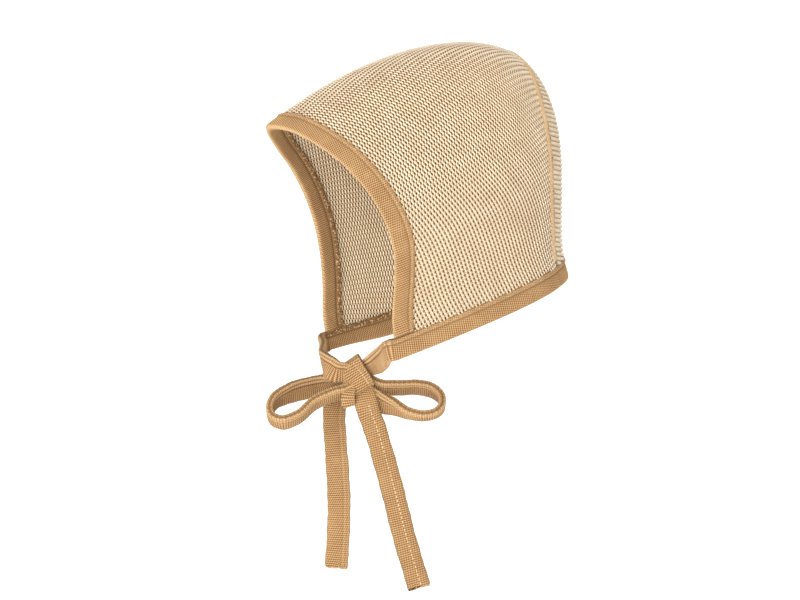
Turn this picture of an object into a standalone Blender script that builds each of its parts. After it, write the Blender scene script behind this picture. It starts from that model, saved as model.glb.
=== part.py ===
"""Knitted baby bonnet, worn shape, tied in a bow under the chin.

The face looks along -Y, the wearer's left side is +X and up is +Z. The origin is the inside of the
crown, where the bonnet sits on the head. Two knitted panels make the shell: the main panel runs from
one cheek over the crown to the other, and the back panel fills the arch behind it. One folded ribbed
strip binds the face edge, and another binds the neck edge and runs on as the two ties of the bow.
"""

import math

import bmesh
import bpy
import numpy as np

# Driving dimensions of the shell, in metres
HALF_WIDTH = 0.054  # the head's half width at the outside of the knit
FRONT_REACH = 0.1075  # crown to the front edge over the forehead
SIDE_DROP = 0.1548  # crown to the lowest point of the neck edge, at the cheek
BACK_CENTRE = 0.0085  # how far in front of the crown the round back has its centre
BACK_DEPTH = 0.053  # half depth of the round back
SHOULDER_DROP = 0.0642  # crown to the height where the walls are upright
SHOULDER_RISE = 0.0659  # height of the domed top above that
DOME_FLATNESS = 3.0  # exponents of the dome, across and up
DOME_RISE_POWER = 2.2
WALL = 0.002  # thickness of the knit
CLEARANCE = 0.0003  # gap between neighbouring pieces

# The arch where the back panel is sewn in
ARCH_HALF_WIDTH = 0.0435
ARCH_SPRING_DROP = 0.0522  # crown to the widest place of the arch
ARCH_RISE = 0.0508
ARCH_POWER = 2.3
ARCH_FOOT_HALF_WIDTH = 0.040

# The neck edge and the flare of the nape
NAPE_DROP = 0.1122
SEAM_FOOT_DROP = 0.1198
NAPE_FLARE = 0.0045
FLARE_HEIGHT = 0.022
RIGHT_CHEEK_RAISE = 0.0030  # the right half of the neck edge is drawn up at the cheek
RIGHT_SIDE_SAG = 0.0047  # and hangs lower beside it
CHEEK_SHARE = 0.50  # share of the neck edge that the cheek takes
ASKEW_FROM = 0.7  # share of the way from crown to cheek where that starts

# The panel's lift off the straight line from front edge to seam
CROWN_LIFT_DEG = 21.0
CHEEK_LIFT_DEG = 15.0
FRONT_TENSION = 0.98
SEAM_TENSION = 0.84

# The folded strips
BAND_WIDTH = 0.0104
BAND_PROUD = 0.0005  # how far a band stands out of the knit on either side
RIDGE_HEIGHT = 0.0007  # height of the sewn ridge along the band
STRIP_WIDTH = 0.0114
STRIP_THICKNESS = 0.0029

# The bow, in its own axes: across to its right, forward out of its face, and up
BOW_TURN_DEG = 66.0  # the bow faces this far round from the front towards the wearer's left
KNOT_BEHIND_FACE = 0.0465  # crown-ward distance of the knot from the forehead edge
KNOT_DROP = 0.1655
KNOT_LENGTH = 0.0160
KNOT_WIDTH = 0.0120
KNOT_DEPTH = 0.0130
KNOT_LEAN_DEG = -36.0
KNOT_RAISE = 0.0028  # the wrap's middle above the place where the strips cross
KNOT_ROUNDING = 0.3  # radius of the wrap's edges as a share of its depth
KNOT_SQUEEZE = 0.60  # share of a strip's width left inside the knot
SQUEEZE_LENGTH = 0.016  # run over which a strip widens again
TIE_TURN = 0.0022  # run of a tie straight on from the neck band before it turns to the knot
LOOP_LEAN_DEG = 55.0
FRONT_LOOP_REACH = 0.0432
BACK_LOOP_REACH = 0.0415
LOOP_DROP = 0.0200  # drop from the middle of the knot to the lowest run of a loop
FRONT_TAIL_LENGTH = 0.0915
BACK_TAIL_LENGTH = 0.1010

# Small steps that slopes are taken over: along the front edge or the seam as a share of it, along
# both of a surface's own measures, and in metres; and the stretch that a height is measured over
EDGE_STEP = 0.02
SURFACE_STEP = 0.004
WALL_STEP = 0.0004
HEM_STRETCH = 0.04

# Mesh fineness
PANEL_ROWS = 50
PANEL_COLUMNS = 16
BACK_COLUMNS = 16
BACK_ROWS = 12
BAND_STATIONS = 64
STRIP_STATIONS = 24
LOOP_STATIONS = 44

# The front edge of the bonnet, from the forehead to the cheek, as shares of the named sizes:
# across of HALF_WIDTH, forward of FRONT_REACH, down of SIDE_DROP
FACE_EDGE = (
    # across, forward, down
    (0.000, 1.000, 0.275),
    (0.260, 0.956, 0.289),
    (0.466, 0.885, 0.329),
    (0.663, 0.792, 0.393),
    (0.799, 0.692, 0.483),
    (0.842, 0.619, 0.571),
    (0.862, 0.577, 0.661),
    (0.843, 0.567, 0.765),
    (0.815, 0.570, 0.875),
    (0.796, 0.545, 1.000),
)

# Section of a band: place along its width from the free edge, and height out of the knit's outside,
# both as shares: along of BAND_WIDTH, proud of BAND_PROUD, wall of WALL, ridge of RIDGE_HEIGHT
BAND_SECTION = (
    # along, proud, wall, ridge
    (0.06, 1.0, 0.0, 0.0),
    (0.40, 1.0, 0.0, 0.0),
    (0.72, 1.0, 0.0, 0.0),
    (0.78, 0.0, 0.0, 0.0),
    (0.84, 1.0, 0.0, 1.0),
    (0.92, 1.0, 0.0, 1.0),
    (0.99, 0.0, 0.0, 0.0),
    (0.99, 0.0, -1.0, 0.0),
    (0.93, -1.0, -1.0, 0.0),
    (0.40, -1.0, -1.0, 0.0),
    (0.06, -1.0, -1.0, 0.0),
    (0.00, 0.0, -0.75, 0.0),
    (0.00, 0.0, -0.25, 0.0),
)

# Section of a tie, loop or tail as shares of its width and thickness
STRIP_SECTION = (
    # width, thickness
    (-0.40, -0.50),
    (0.00, -0.50),
    (0.40, -0.50),
    (0.50, -0.18),
    (0.50, 0.18),
    (0.40, 0.50),
    (0.00, 0.50),
    (-0.40, 0.50),
    (-0.50, 0.18),
    (-0.50, -0.18),
)

# Routes of the strips in the bow's axes, in millimetres from the middle of the knot, and the way
# that the strip's upper edge points there
RIGHT_TIE_ROUTE = (
    # across, forward, up, edge across, edge forward, edge up
    (-16.6, -30.0, 13.2, -0.10, 0.15, 0.98),
    (-16.9, -19.0, 11.0, -0.15, 0.20, 0.96),
    (-16.6, -9.0, 9.6, -0.20, 0.10, 0.96),
    (-15.6, -1.5, 8.6, -0.15, -0.15, 0.96),
    (-13.2, 3.6, 6.2, 0.10, -0.10, 0.98),
    (-10.3, 5.2, 4.4, 0.22, 0.00, 0.96),
    (-6.0, 4.4, 4.0, 0.25, 0.00, 0.96),
    (0.0, 3.0, 3.0, 0.25, 0.00, 0.96),
)
LEFT_TIE_ROUTE = (
    # across, forward, up, edge across, edge forward, edge up
    (14.2, 31.0, 13.0, -0.22, 0.05, 0.97),
    (12.4, 21.0, 11.3, -0.38, 0.05, 0.92),
    (10.6, 13.0, 9.7, -0.48, 0.05, 0.87),
    (8.6, 6.5, 8.1, -0.55, 0.05, 0.83),
    (5.4, 2.0, 6.5, -0.58, 0.05, 0.81),
    (1.0, 0.0, 4.0, -0.58, 0.00, 0.81),
)

# The middle line of each loop: along as a share of the loop's reach, forward and up as shares of
# LOOP_DROP, and how far the strip leans as a share of LOOP_LEAN_DEG
FRONT_LOOP = (
    # along, forward, up, lean
    (0.00, -0.090, 0.165, 1.00),
    (0.12, -0.115, 0.105, 1.00),
    (0.25, -0.240, -0.025, 1.00),
    (0.40, -0.330, -0.140, 0.45),
    (0.58, -0.235, -0.215, 0.35),
    (0.80, -0.030, -0.355, 0.60),
    (0.94, 0.175, -0.535, 0.85),
    (0.98, 0.340, -0.750, 1.00),
    (0.94, 0.505, -0.930, 1.05),
    (0.84, 0.590, -1.010, 1.05),
    (0.67, 0.505, -0.900, 1.05),
    (0.47, 0.290, -0.545, 1.05),
    (0.25, 0.190, -0.340, 1.05),
    (0.12, 0.140, -0.255, 1.05),
    (0.00, 0.100, 0.010, 1.00),
)
BACK_LOOP = (
    # along, forward, up, lean
    (0.03, -0.135, 0.135, 1.00),
    (0.14, -0.160, -0.020, 1.00),
    (0.28, -0.150, -0.170, 1.00),
    (0.50, -0.135, -0.200, 1.00),
    (0.72, -0.140, -0.190, 1.00),
    (0.91, -0.070, -0.290, 1.00),
    (1.00, 0.070, -0.470, 1.10),
    (1.00, 0.195, -0.630, 1.20),
    (0.92, 0.340, -0.800, 1.28),
    (0.80, 0.370, -0.860, 1.28),
    (0.61, 0.300, -0.800, 1.20),
    (0.44, 0.135, -0.650, 0.80),
    (0.28, 0.030, -0.540, 0.35),
    (0.15, 0.010, -0.370, 0.05),
    (0.06, 0.035, -0.190, 0.00),
)

# Tails: across and forward in millimetres, down as a share of the tail's length
FRONT_TAIL = (
    # across, forward, down
    (-2.4, -3.0, -0.030),
    (-3.0, -8.4, -0.020),
    (-5.2, -11.6, 0.020),
    (-7.8, -12.2, 0.070),
    (-10.8, -11.6, 0.130),
    (-11.4, -9.5, 0.210),
    (-10.7, -6.0, 0.33),
    (-9.6, -3.0, 0.48),
    (-8.8, -1.0, 0.66),
    (-9.2, -0.5, 0.84),
    (-10.2, -0.5, 1.00),
)
BACK_TAIL = (
    # across, forward, down
    (3.4, 2.6, -0.02),
    (3.6, 4.3, 0.05),
    (4.2, 5.1, 0.10),
    (5.4, 5.3, 0.15),
    (7.4, 5.0, 0.20),
    (12.6, 3.4, 0.36),
    (17.6, 2.4, 0.54),
    (22.6, 1.6, 0.74),
    (30.4, 1.0, 1.00),
)


def spline(knots, values, at):
    """A smooth curve through the values at the knots: cubic pieces whose slope at each knot is the
    slope between its neighbours, read at each place in at."""
    slope = np.gradient(values, knots, axis=0)
    i = np.clip(np.searchsorted(knots, at) - 1, 0, len(knots) - 2)
    step = (knots[i + 1] - knots[i])[..., None]
    t = (at - knots[i])[..., None] / step
    start = (1 + 2 * t) * (1 - t) ** 2 * values[i] + t * (1 - t) ** 2 * step * slope[i]
    end = t * t * (3 - 2 * t) * values[i + 1] - t * t * (1 - t) * step * slope[i + 1]
    return start + end


def along_curve(points, count):
    """The smooth curve through a route's points, read at evenly spaced places."""
    points = np.array(points, float)
    steps = np.linalg.norm(np.diff(points[:, :3], axis=0), axis=1)
    knots = np.concatenate([[0.0], np.cumsum(steps)])
    return spline(knots, points, np.linspace(0.0, knots[-1], count))


def unit(vectors):
    return vectors / np.maximum(np.linalg.norm(vectors, axis=-1, keepdims=True), 1e-12)


def face_edge(u):
    """The front edge at share u: -1 at the right cheek, 0 over the forehead, 1 at the left cheek."""
    rows = np.array(FACE_EDGE)
    half = rows * [HALF_WIDTH, -FRONT_REACH, -SIDE_DROP]
    whole = np.concatenate([half[:0:-1] * [-1, 1, 1], half])
    steps = np.linalg.norm(np.diff(whole, axis=0), axis=1)
    knots = np.concatenate([[0.0], np.cumsum(steps)])
    knots = 2 * knots / knots[-1] - 1
    return spline(knots, whole, u)


def hem_drop(across_share):
    """Depth of the neck edge on the back panel, deeper towards the seams."""
    return NAPE_DROP + (SEAM_FOOT_DROP - NAPE_DROP) * across_share**2


def back_wall(x, z, hem):
    """The round back above a place: a flattened ball above the shoulder height and an upright oval
    below it, flaring out over the last stretch above the hem."""
    rise = np.clip((z + SHOULDER_DROP) / SHOULDER_RISE, 0.0, 1.0)
    size = np.maximum(1 - rise**DOME_RISE_POWER, 0.0) ** (1 / DOME_FLATNESS)
    inside = np.maximum(size**2 - (x / HALF_WIDTH) ** 2, 0.0)
    near_hem = np.clip(1 - (z - hem) / FLARE_HEIGHT, 0.0, 1.0)
    flare = NAPE_FLARE * near_hem**2
    return -BACK_CENTRE + (BACK_DEPTH + flare) * np.sqrt(inside)


def back_surface(p, q):
    """The back panel: p runs across from -1 to 1; q runs up from -1 at the hem over 0 at the arch's
    widest place to 1 at its top. The upper part maps a square onto the arch's round top."""
    top, low = np.clip(q, 0, 1), np.clip(-q, 0, None)
    wide = 1 - top**ARCH_POWER / 2
    tall = 1 - np.abs(p) ** ARCH_POWER / 2
    half = ARCH_HALF_WIDTH + (ARCH_FOOT_HALF_WIDTH - ARCH_HALF_WIDTH) * low**1.5
    x = p * half * wide ** (1 / ARCH_POWER)
    hem = -hem_drop(p)
    upper = -ARCH_SPRING_DROP + ARCH_RISE * top * tall ** (1 / ARCH_POWER)
    z = np.where(q >= 0, upper, -ARCH_SPRING_DROP + low * (hem + ARCH_SPRING_DROP))
    return np.stack([x, back_wall(x, z, hem), z], axis=-1)


def arch_path():
    """The back panel's outline from the top of the arch down its left side to the hem, as the shares
    of its length and the points there."""
    top = np.stack([np.linspace(0, 1, 60), np.ones(60)], axis=1)
    side = np.stack([np.ones(120), np.linspace(1, -1, 121)[1:]], axis=1)
    corners = np.concatenate([top, side])
    points = back_surface(corners[:, 0], corners[:, 1])
    steps = np.linalg.norm(np.diff(points, axis=0), axis=1)
    length = np.concatenate([[0.0], np.cumsum(steps)])
    return length / length[-1], points, length[-1]


ARCH_SHARE, ARCH_POINTS, ARCH_LENGTH = arch_path()


def seam_arch(u):
    """The sewn seam at share u, matching the front edge share for share and straight past its foot."""
    place = np.stack([np.interp(np.abs(u), ARCH_SHARE, ARCH_POINTS[:, k]) for k in range(3)], -1)
    foot = unit(ARCH_POINTS[-1] - ARCH_POINTS[-4]) * ARCH_LENGTH
    place = place + np.clip(np.abs(u) - 1, 0, None)[..., None] * foot
    return place * np.stack([np.where(u < 0, -1.0, 1.0), np.ones_like(u), np.ones_like(u)], -1)


def seam_direction(u):
    """The way the main panel runs as it meets the seam: square to the seam, in the back's surface."""
    small = WALL_STEP
    along = unit(seam_arch(u + EDGE_STEP) - seam_arch(u - EDGE_STEP))
    place = seam_arch(u)
    x, z, hem = place[..., 0], place[..., 2], -SEAM_FOOT_DROP
    slope_x = (back_wall(x + small, z, hem) - back_wall(x - small, z, hem)) / (2 * small)
    slope_z = (back_wall(x, z + small, hem) - back_wall(x, z - small, hem)) / (2 * small)
    outward = unit(np.stack([-slope_x, np.ones_like(slope_x), -slope_z], axis=-1))
    return unit(np.cross(outward, along))


def turned(vectors, axes, degrees):
    """Each vector turned about its own unit axis."""
    angle = np.radians(degrees)[..., None]
    level = (axes * vectors).sum(-1, keepdims=True) * axes * (1 - np.cos(angle))
    return vectors * np.cos(angle) + np.cross(axes, vectors) * np.sin(angle) + level


def right_side_lift(u, v):
    """How far the right side is drawn up near its neck edge: up at the cheek, down beside it."""
    low = np.clip((-u - ASKEW_FROM) / (1 - ASKEW_FROM), 0, None) ** 2
    raised = RIGHT_CHEEK_RAISE * np.clip(1 - v / CHEEK_SHARE, 0, 1) ** 2
    sagging = RIGHT_SIDE_SAG * np.sin(np.pi * np.clip(v, 0, 1)) ** 2.5
    return low * (raised - sagging)


def main_surface(u, v):
    """The main panel's outside: u across as for the front edge, v back from 0 at the front edge to 1
    at the seam. Each line of equal u is a cubic curve that leaves the front edge lifted off the
    straight line to the seam and meets the seam in the round back's own surface."""
    front, seam = face_edge(u), seam_arch(u)
    chord = seam - front
    length = np.linalg.norm(chord, axis=-1, keepdims=True)
    high, low = u + EDGE_STEP, u - EDGE_STEP
    across = unit(face_edge(high) + seam_arch(high) - face_edge(low) - seam_arch(low))
    lift = CROWN_LIFT_DEG + (CHEEK_LIFT_DEG - CROWN_LIFT_DEG) * np.abs(u)
    leave = turned(unit(chord), across, lift) * length * FRONT_TENSION
    arrive = seam_direction(u) * length * SEAM_TENSION
    t = v[..., None]
    ends = front * (1 + 2 * t) * (1 - t) ** 2 + seam * t * t * (3 - 2 * t)
    upward = right_side_lift(u, v)[..., None] * [0.0, 0.0, 1.0]
    return ends + leave * t * (1 - t) ** 2 - arrive * t * t * (1 - t) + upward


def with_normals(surface, a, b, facing):
    """Points of a surface, and its unit normals there from small steps along both parameters."""
    step = SURFACE_STEP
    along_a = surface(a + step, b) - surface(a - step, b)
    along_b = surface(a, np.clip(b + step, -1, 1)) - surface(a, np.clip(b - step, -1, 1))
    return surface(a, b), unit(np.cross(along_a, along_b)) * facing


def front_share(u):
    """Share of v that one band width takes at u."""
    chord = np.linalg.norm(seam_arch(u) - face_edge(u), axis=-1)
    return BAND_WIDTH / (chord * FRONT_TENSION)


def hem_share(v, height):
    """How far u stays short of 1 at a height above the neck edge."""
    edge, above = np.ones_like(v), np.full_like(v, 1 - HEM_STRETCH)
    rise = np.linalg.norm(main_surface(edge, v) - main_surface(above, v), axis=-1)
    return height * HEM_STRETCH / rise


def neck_ring(heights):
    """Points and normals round the neck, from the left cheek over the nape to the right cheek, at
    each height above the neck edge: one row for each station, one column for each height."""
    v = np.linspace(0, 1, BAND_STATIONS // 3 + 1)[:-1]
    v, h = np.meshgrid(v, heights, indexing="ij")
    left = with_normals(main_surface, 1 - hem_share(v, h), v, 1)
    right = with_normals(main_surface, (hem_share(v, h) - 1)[::-1], v[::-1], 1)
    p, h = np.meshgrid(np.linspace(1, -1, BAND_STATIONS // 3 + 1), heights, indexing="ij")
    back = with_normals(back_surface, p, h / (hem_drop(p) - ARCH_SPRING_DROP) - 1, -1)
    return tuple(np.concatenate([left[k], back[k], right[k]]) for k in range(2))


def section_values(table, *sizes):
    return [np.array([row[k] for row in table]) * size for k, size in enumerate(sizes)]


def band_offsets():
    """Places along the band's width, and how far its skin stands out of the knit's outside."""
    along, proud, wall, ridge = section_values(
        BAND_SECTION, BAND_WIDTH, BAND_PROUD, WALL, RIDGE_HEIGHT
    )
    return along, proud + wall + ridge


def tube_mesh(name, rings):
    """A closed body through a row of like rings, with a flat face at each end."""
    stations, around = rings.shape[:2]
    i, j = np.meshgrid(np.arange(stations - 1), np.arange(around), indexing="ij")
    k = (j + 1) % around
    quads = np.stack([i * around + j, i * around + k, (i + 1) * around + k, (i + 1) * around + j], -1)
    ends = [list(range(around))[::-1], list(range((stations - 1) * around, stations * around))]
    return make_mesh(name, rings.reshape(-1, 3), quads.reshape(-1, 4).tolist() + ends)


def sheet_mesh(name, grid):
    """An open surface through a grid of points."""
    rows, columns = grid.shape[:2]
    i, j = np.meshgrid(np.arange(rows - 1), np.arange(columns - 1), indexing="ij")
    a = i * columns + j
    quads = np.stack([a, a + columns, a + columns + 1, a + 1], axis=-1)
    return make_mesh(name, grid.reshape(-1, 3), quads.reshape(-1, 4).tolist())


def make_mesh(name, points, faces):
    mesh = bpy.data.meshes.new(name)
    mesh.from_pydata(points.tolist(), [], faces)
    mesh.update()
    return mesh


def finish(name, mesh, material, collection):
    """One named object with its material, its faces turned outwards and shaded smooth."""
    body = bmesh.new()
    body.from_mesh(mesh)
    bmesh.ops.recalc_face_normals(body, faces=body.faces)
    body.to_mesh(mesh)
    body.free()
    mesh.shade_smooth()
    mesh.set_sharp_from_angle(angle=math.radians(50))
    mesh.materials.append(material)
    item = bpy.data.objects.new(name, mesh)
    collection.objects.link(item)
    return item


def wool(name, colour, roughness):
    material = bpy.data.materials.new(name)
    material.use_nodes = True
    shader = material.node_tree.nodes["Principled BSDF"]
    shader.inputs["Base Color"].default_value = (*colour, 1.0)
    shader.inputs["Roughness"].default_value = roughness
    shader.inputs["Metallic"].default_value = 0.0
    return material


def sheet_object(name, grid, material, collection):
    """A knitted panel: the open outside surface, thickened inwards."""
    item = finish(name, sheet_mesh(name, grid), material, collection)
    wall = item.modifiers.new("wall", "SOLIDIFY")
    wall.thickness = WALL
    wall.offset = -1.0
    return item


def main_panel(material, collection):
    """The panel over the crown, between the face band, the neck band and the seam."""
    across, back = np.linspace(-1, 1, PANEL_ROWS + 1), np.linspace(0, 1, PANEL_COLUMNS + 1)
    share, v = np.meshgrid(across, back, indexing="ij")
    for _ in range(2):
        u = share * (1 - hem_share(v, BAND_WIDTH + 2 * CLEARANCE))
        chord = np.linalg.norm(seam_arch(u) - face_edge(u), axis=-1)
        first = (BAND_WIDTH + CLEARANCE) / (chord * FRONT_TENSION)
        last = 1 - CLEARANCE / (chord * SEAM_TENSION)
        v = first + back[None, :] * (last - first)
    return sheet_object("main_panel", main_surface(u, v), material, collection)


def back_panel(material, collection):
    """The panel in the arch at the back, above the neck band."""
    across, up = np.linspace(1, -1, BACK_COLUMNS + 1), np.linspace(0, 1, BACK_ROWS + 1)
    p, share = np.meshgrid(across, up, indexing="ij")
    p = p * (1 - CLEARANCE / ARCH_HALF_WIDTH)
    low = (BAND_WIDTH + CLEARANCE) / (hem_drop(p) - ARCH_SPRING_DROP) - 1
    high = 1 - CLEARANCE / ARCH_RISE
    q = low + share * (high - low)
    return sheet_object("back_panel", back_surface(p, q), material, collection)


def face_band(material, collection):
    """The folded strip round the face, down to the neck band on either side."""
    along, out = band_offsets()
    share, along = np.meshgrid(np.linspace(-1, 1, BAND_STATIONS), along, indexing="ij")
    v = along / BAND_WIDTH * front_share(share)
    u = share * (1 - hem_share(v, BAND_WIDTH + CLEARANCE))
    point, normal = with_normals(main_surface, u, v, 1)
    mesh = tube_mesh("face_band", point + normal * out[None, :, None])
    return finish("face_band", mesh, material, collection)


def neck_band(material, collection):
    """The folded strip along the neck edge, from cheek to cheek."""
    along, out = band_offsets()
    point, normal = neck_ring(along)
    mesh = tube_mesh("neck_band", point + normal * out[None, :, None])
    return finish("neck_band", mesh, material, collection)


def bow_axes():
    """The bow's axes as rows: across, forward, up."""
    turn = math.radians(BOW_TURN_DEG)
    across = (math.cos(turn), math.sin(turn), 0.0)
    forward = (math.sin(turn), -math.cos(turn), 0.0)
    return np.array([across, forward, (0.0, 0.0, 1.0)])


def knot_place():
    return np.array([0.0, KNOT_BEHIND_FACE - FRONT_REACH, -KNOT_DROP])


def route_in_world(route):
    """A route given in the bow's axes in millimetres, with its edge directions, in metres."""
    rows = np.array(route, float)
    places = knot_place() + rows[:, :3] / 1000 @ bow_axes()
    return np.concatenate([places, rows[:, 3:] @ bow_axes()], axis=1)


def squeeze(count, length, both):
    """The strip's width at each station as a share of its full width, narrower towards the knot at
    its last end, or at both ends."""
    place = np.linspace(0.0, length, count)
    from_knot = np.minimum(place, length - place) if both else length - place
    near = np.clip(1 - from_knot / SQUEEZE_LENGTH, 0, 1)
    return 1 - (1 - KNOT_SQUEEZE) * near**2


def strip_mesh(name, route, count, both):
    """The folded strip carried along a route, its width turned the way that the route says."""
    curve = along_curve(route, count)
    centre = curve[:, :3]
    forward = unit(np.gradient(centre, axis=0))
    edge = curve[:, 3:6]
    edge = unit(edge - (edge * forward).sum(-1, keepdims=True) * forward)
    face = np.cross(forward, edge)
    wide, thick = section_values(STRIP_SECTION, STRIP_WIDTH, STRIP_THICKNESS)
    length = np.linalg.norm(np.diff(centre, axis=0), axis=1).sum()
    wide = wide * squeeze(count, length, both)[:, None]
    rings = centre[:, None] + edge[:, None] * wide[..., None] + face[:, None] * thick[:, None]
    return tube_mesh(name, rings)


def edge_drop(point, row):
    """How far the wider tie sits below the band's middle, so that their upper edges line up."""
    return unit(point[row, 1] - point[row, 0]) * (STRIP_WIDTH - BAND_WIDTH) / 2


def tie_route(side, route):
    """The tie's route, from the end of the neck band (side 1 left, -1 right) to the knot."""
    point, normal = neck_ring(np.array([0.0, BAND_WIDTH]))
    row = 0 if side > 0 else -1
    middle = point.mean(axis=1) - normal.mean(axis=1) * WALL / 2
    edge = unit(point[row, 1] - point[row, 0])
    leaving = unit(np.cross(normal[row].mean(axis=0), edge)) * side
    level = middle[row] - edge_drop(point, row)
    start = np.array([level + leaving * run for run in (CLEARANCE, TIE_TURN)])
    head = np.concatenate([start, np.repeat(edge[None], 2, 0)], axis=1)
    return np.concatenate([head, route_in_world(route)])


def loop_route(table, reach, side):
    """A loop's middle line from its table, the strip's upper edge leaning towards the viewer."""
    rows = np.array(table)
    lean = np.radians(LOOP_LEAN_DEG) * rows[:, 3]
    edges = np.stack([np.zeros_like(lean), np.sin(lean), np.cos(lean)], axis=1)
    places = rows[:, :3] * [reach * side, LOOP_DROP, LOOP_DROP] * 1000
    return route_in_world(np.concatenate([places, edges], axis=1))


def tail_route(table, length):
    """A tail's route from its end to the knot; its width lies across the way that it hangs."""
    rows = np.array(table)[::-1]
    places = rows * [1.0, 1.0, -length * 1000]
    along = unit(np.gradient(places, axis=0))
    edges = unit(np.cross(along, [0.0, 1.0, 0.0]))
    return route_in_world(np.concatenate([places, edges], axis=1))


def rounded_block(name, sizes, collection):
    """A block with rounded edges at the knot, leaning as the wrap over the bow does."""
    bpy.ops.mesh.primitive_cube_add(size=1.0)
    item = bpy.context.object
    item.name = item.data.name = name
    item.scale = sizes
    bpy.ops.object.transform_apply(location=False, rotation=False, scale=True)
    for old in list(item.users_collection):
        old.objects.unlink(item)
    collection.objects.link(item)
    item.location = knot_place() + np.array([0.0, 0.0, KNOT_RAISE])
    turn, lean = math.radians(BOW_TURN_DEG), math.radians(KNOT_LEAN_DEG)
    item.rotation_mode = "XYZ"
    item.rotation_euler = (0.0, lean, turn)
    rounding = item.modifiers.new("rounding", "BEVEL")
    rounding.width = KNOT_DEPTH * KNOT_ROUNDING
    rounding.segments = 3
    return item


def bow(material, collection, cutters):
    """The knot, and the ties, loops and tails that run into it."""
    sizes = np.array([KNOT_WIDTH, KNOT_DEPTH, KNOT_LENGTH])
    knot = rounded_block("bow_knot", sizes, collection)
    knot.data.materials.append(material)
    knot.data.shade_smooth()
    room = rounded_block("knot_room", sizes + 2 * CLEARANCE, cutters)
    room.hide_render = True
    room.display_type = "WIRE"
    routes = {
        "left_tie": tie_route(1, LEFT_TIE_ROUTE),
        "right_tie": tie_route(-1, RIGHT_TIE_ROUTE),
        "front_loop": loop_route(FRONT_LOOP, FRONT_LOOP_REACH, -1),
        "back_loop": loop_route(BACK_LOOP, BACK_LOOP_REACH, 1),
        "front_tail": tail_route(FRONT_TAIL, FRONT_TAIL_LENGTH),
        "back_tail": tail_route(BACK_TAIL, BACK_TAIL_LENGTH),
    }
    for name, route in routes.items():
        looped = name.endswith("loop")
        count = LOOP_STATIONS if looped else STRIP_STATIONS
        strip = finish(name, strip_mesh(name, route, count, looped), material, collection)
        cut = strip.modifiers.new("knot", "BOOLEAN")
        cut.operation = "DIFFERENCE"
        cut.object = room


def build():
    """Clears the scene and makes every piece of the bonnet."""
    for item in list(bpy.data.objects):
        bpy.data.objects.remove(item, do_unlink=True)
    bonnet = bpy.data.collections.new("baby_bonnet")
    cutters = bpy.data.collections.new("cutters")
    for collection in (bonnet, cutters):
        bpy.context.scene.collection.children.link(collection)
    knit = wool("two_tone_knit", (0.78, 0.60, 0.38), 0.95)
    rib = wool("caramel_rib", (0.52, 0.31, 0.13), 0.9)
    main_panel(knit, bonnet)
    back_panel(knit, bonnet)
    face_band(rib, bonnet)
    neck_band(rib, bonnet)
    bow(rib, bonnet, cutters)


build()
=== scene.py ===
"""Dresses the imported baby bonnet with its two-tone knit, ribbed bands, ties and bow.

Lengths are in metres. The face looks along -Y, the wearer's left side is +X and up is +Z. The knit
lies on the same surfaces as the part's panels, worked out again here from the same sizes, and its
stitches stand on them in rows. The strips are closed skins carried round the edges and along the
routes of the bow.
"""

import math

import bpy
import numpy as np
from mathutils import Matrix


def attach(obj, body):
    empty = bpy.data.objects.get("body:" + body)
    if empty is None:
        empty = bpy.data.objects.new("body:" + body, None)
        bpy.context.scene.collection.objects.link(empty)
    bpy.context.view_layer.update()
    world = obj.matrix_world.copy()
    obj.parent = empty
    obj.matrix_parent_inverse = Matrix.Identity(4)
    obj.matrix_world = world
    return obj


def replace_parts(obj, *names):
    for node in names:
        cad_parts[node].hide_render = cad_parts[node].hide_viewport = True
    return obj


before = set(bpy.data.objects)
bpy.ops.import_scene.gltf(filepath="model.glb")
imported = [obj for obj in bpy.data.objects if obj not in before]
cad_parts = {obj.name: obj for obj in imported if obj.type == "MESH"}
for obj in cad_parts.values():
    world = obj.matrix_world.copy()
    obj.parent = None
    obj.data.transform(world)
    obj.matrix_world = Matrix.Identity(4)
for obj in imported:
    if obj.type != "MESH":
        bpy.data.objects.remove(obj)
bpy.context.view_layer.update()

# Sizes of the shell, in metres, as in the part's source
HALF_WIDTH = 0.054
FRONT_REACH = 0.1075
SIDE_DROP = 0.1548
BACK_CENTRE = 0.0085
BACK_DEPTH = 0.053
SHOULDER_DROP = 0.0642
SHOULDER_RISE = 0.0659
DOME_FLATNESS = 3.0
DOME_RISE_POWER = 2.2
WALL = 0.002
ARCH_HALF_WIDTH = 0.0435
ARCH_SPRING_DROP = 0.0522
ARCH_RISE = 0.0508
ARCH_POWER = 2.3
ARCH_FOOT_HALF_WIDTH = 0.040
NAPE_DROP = 0.1122
SEAM_FOOT_DROP = 0.1198
NAPE_FLARE = 0.0045
FLARE_HEIGHT = 0.022
RIGHT_CHEEK_RAISE = 0.0030
RIGHT_SIDE_SAG = 0.0047
CHEEK_SHARE = 0.50
ASKEW_FROM = 0.7
CROWN_LIFT_DEG = 21.0
CHEEK_LIFT_DEG = 15.0
FRONT_TENSION = 0.98
SEAM_TENSION = 0.84
FOOT_POWER = 1.5  # how soon the back panel draws in towards its foot

# Small steps that slopes are taken over: along the front edge as a share of it, along both of a
# surface's own measures, and in metres; and the stretch that a height is measured over
EDGE_STEP = 0.02
SURFACE_STEP = 0.004
WALL_STEP = 0.0004
BACK_STEP = 0.0005
HEM_STRETCH = 0.04

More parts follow.
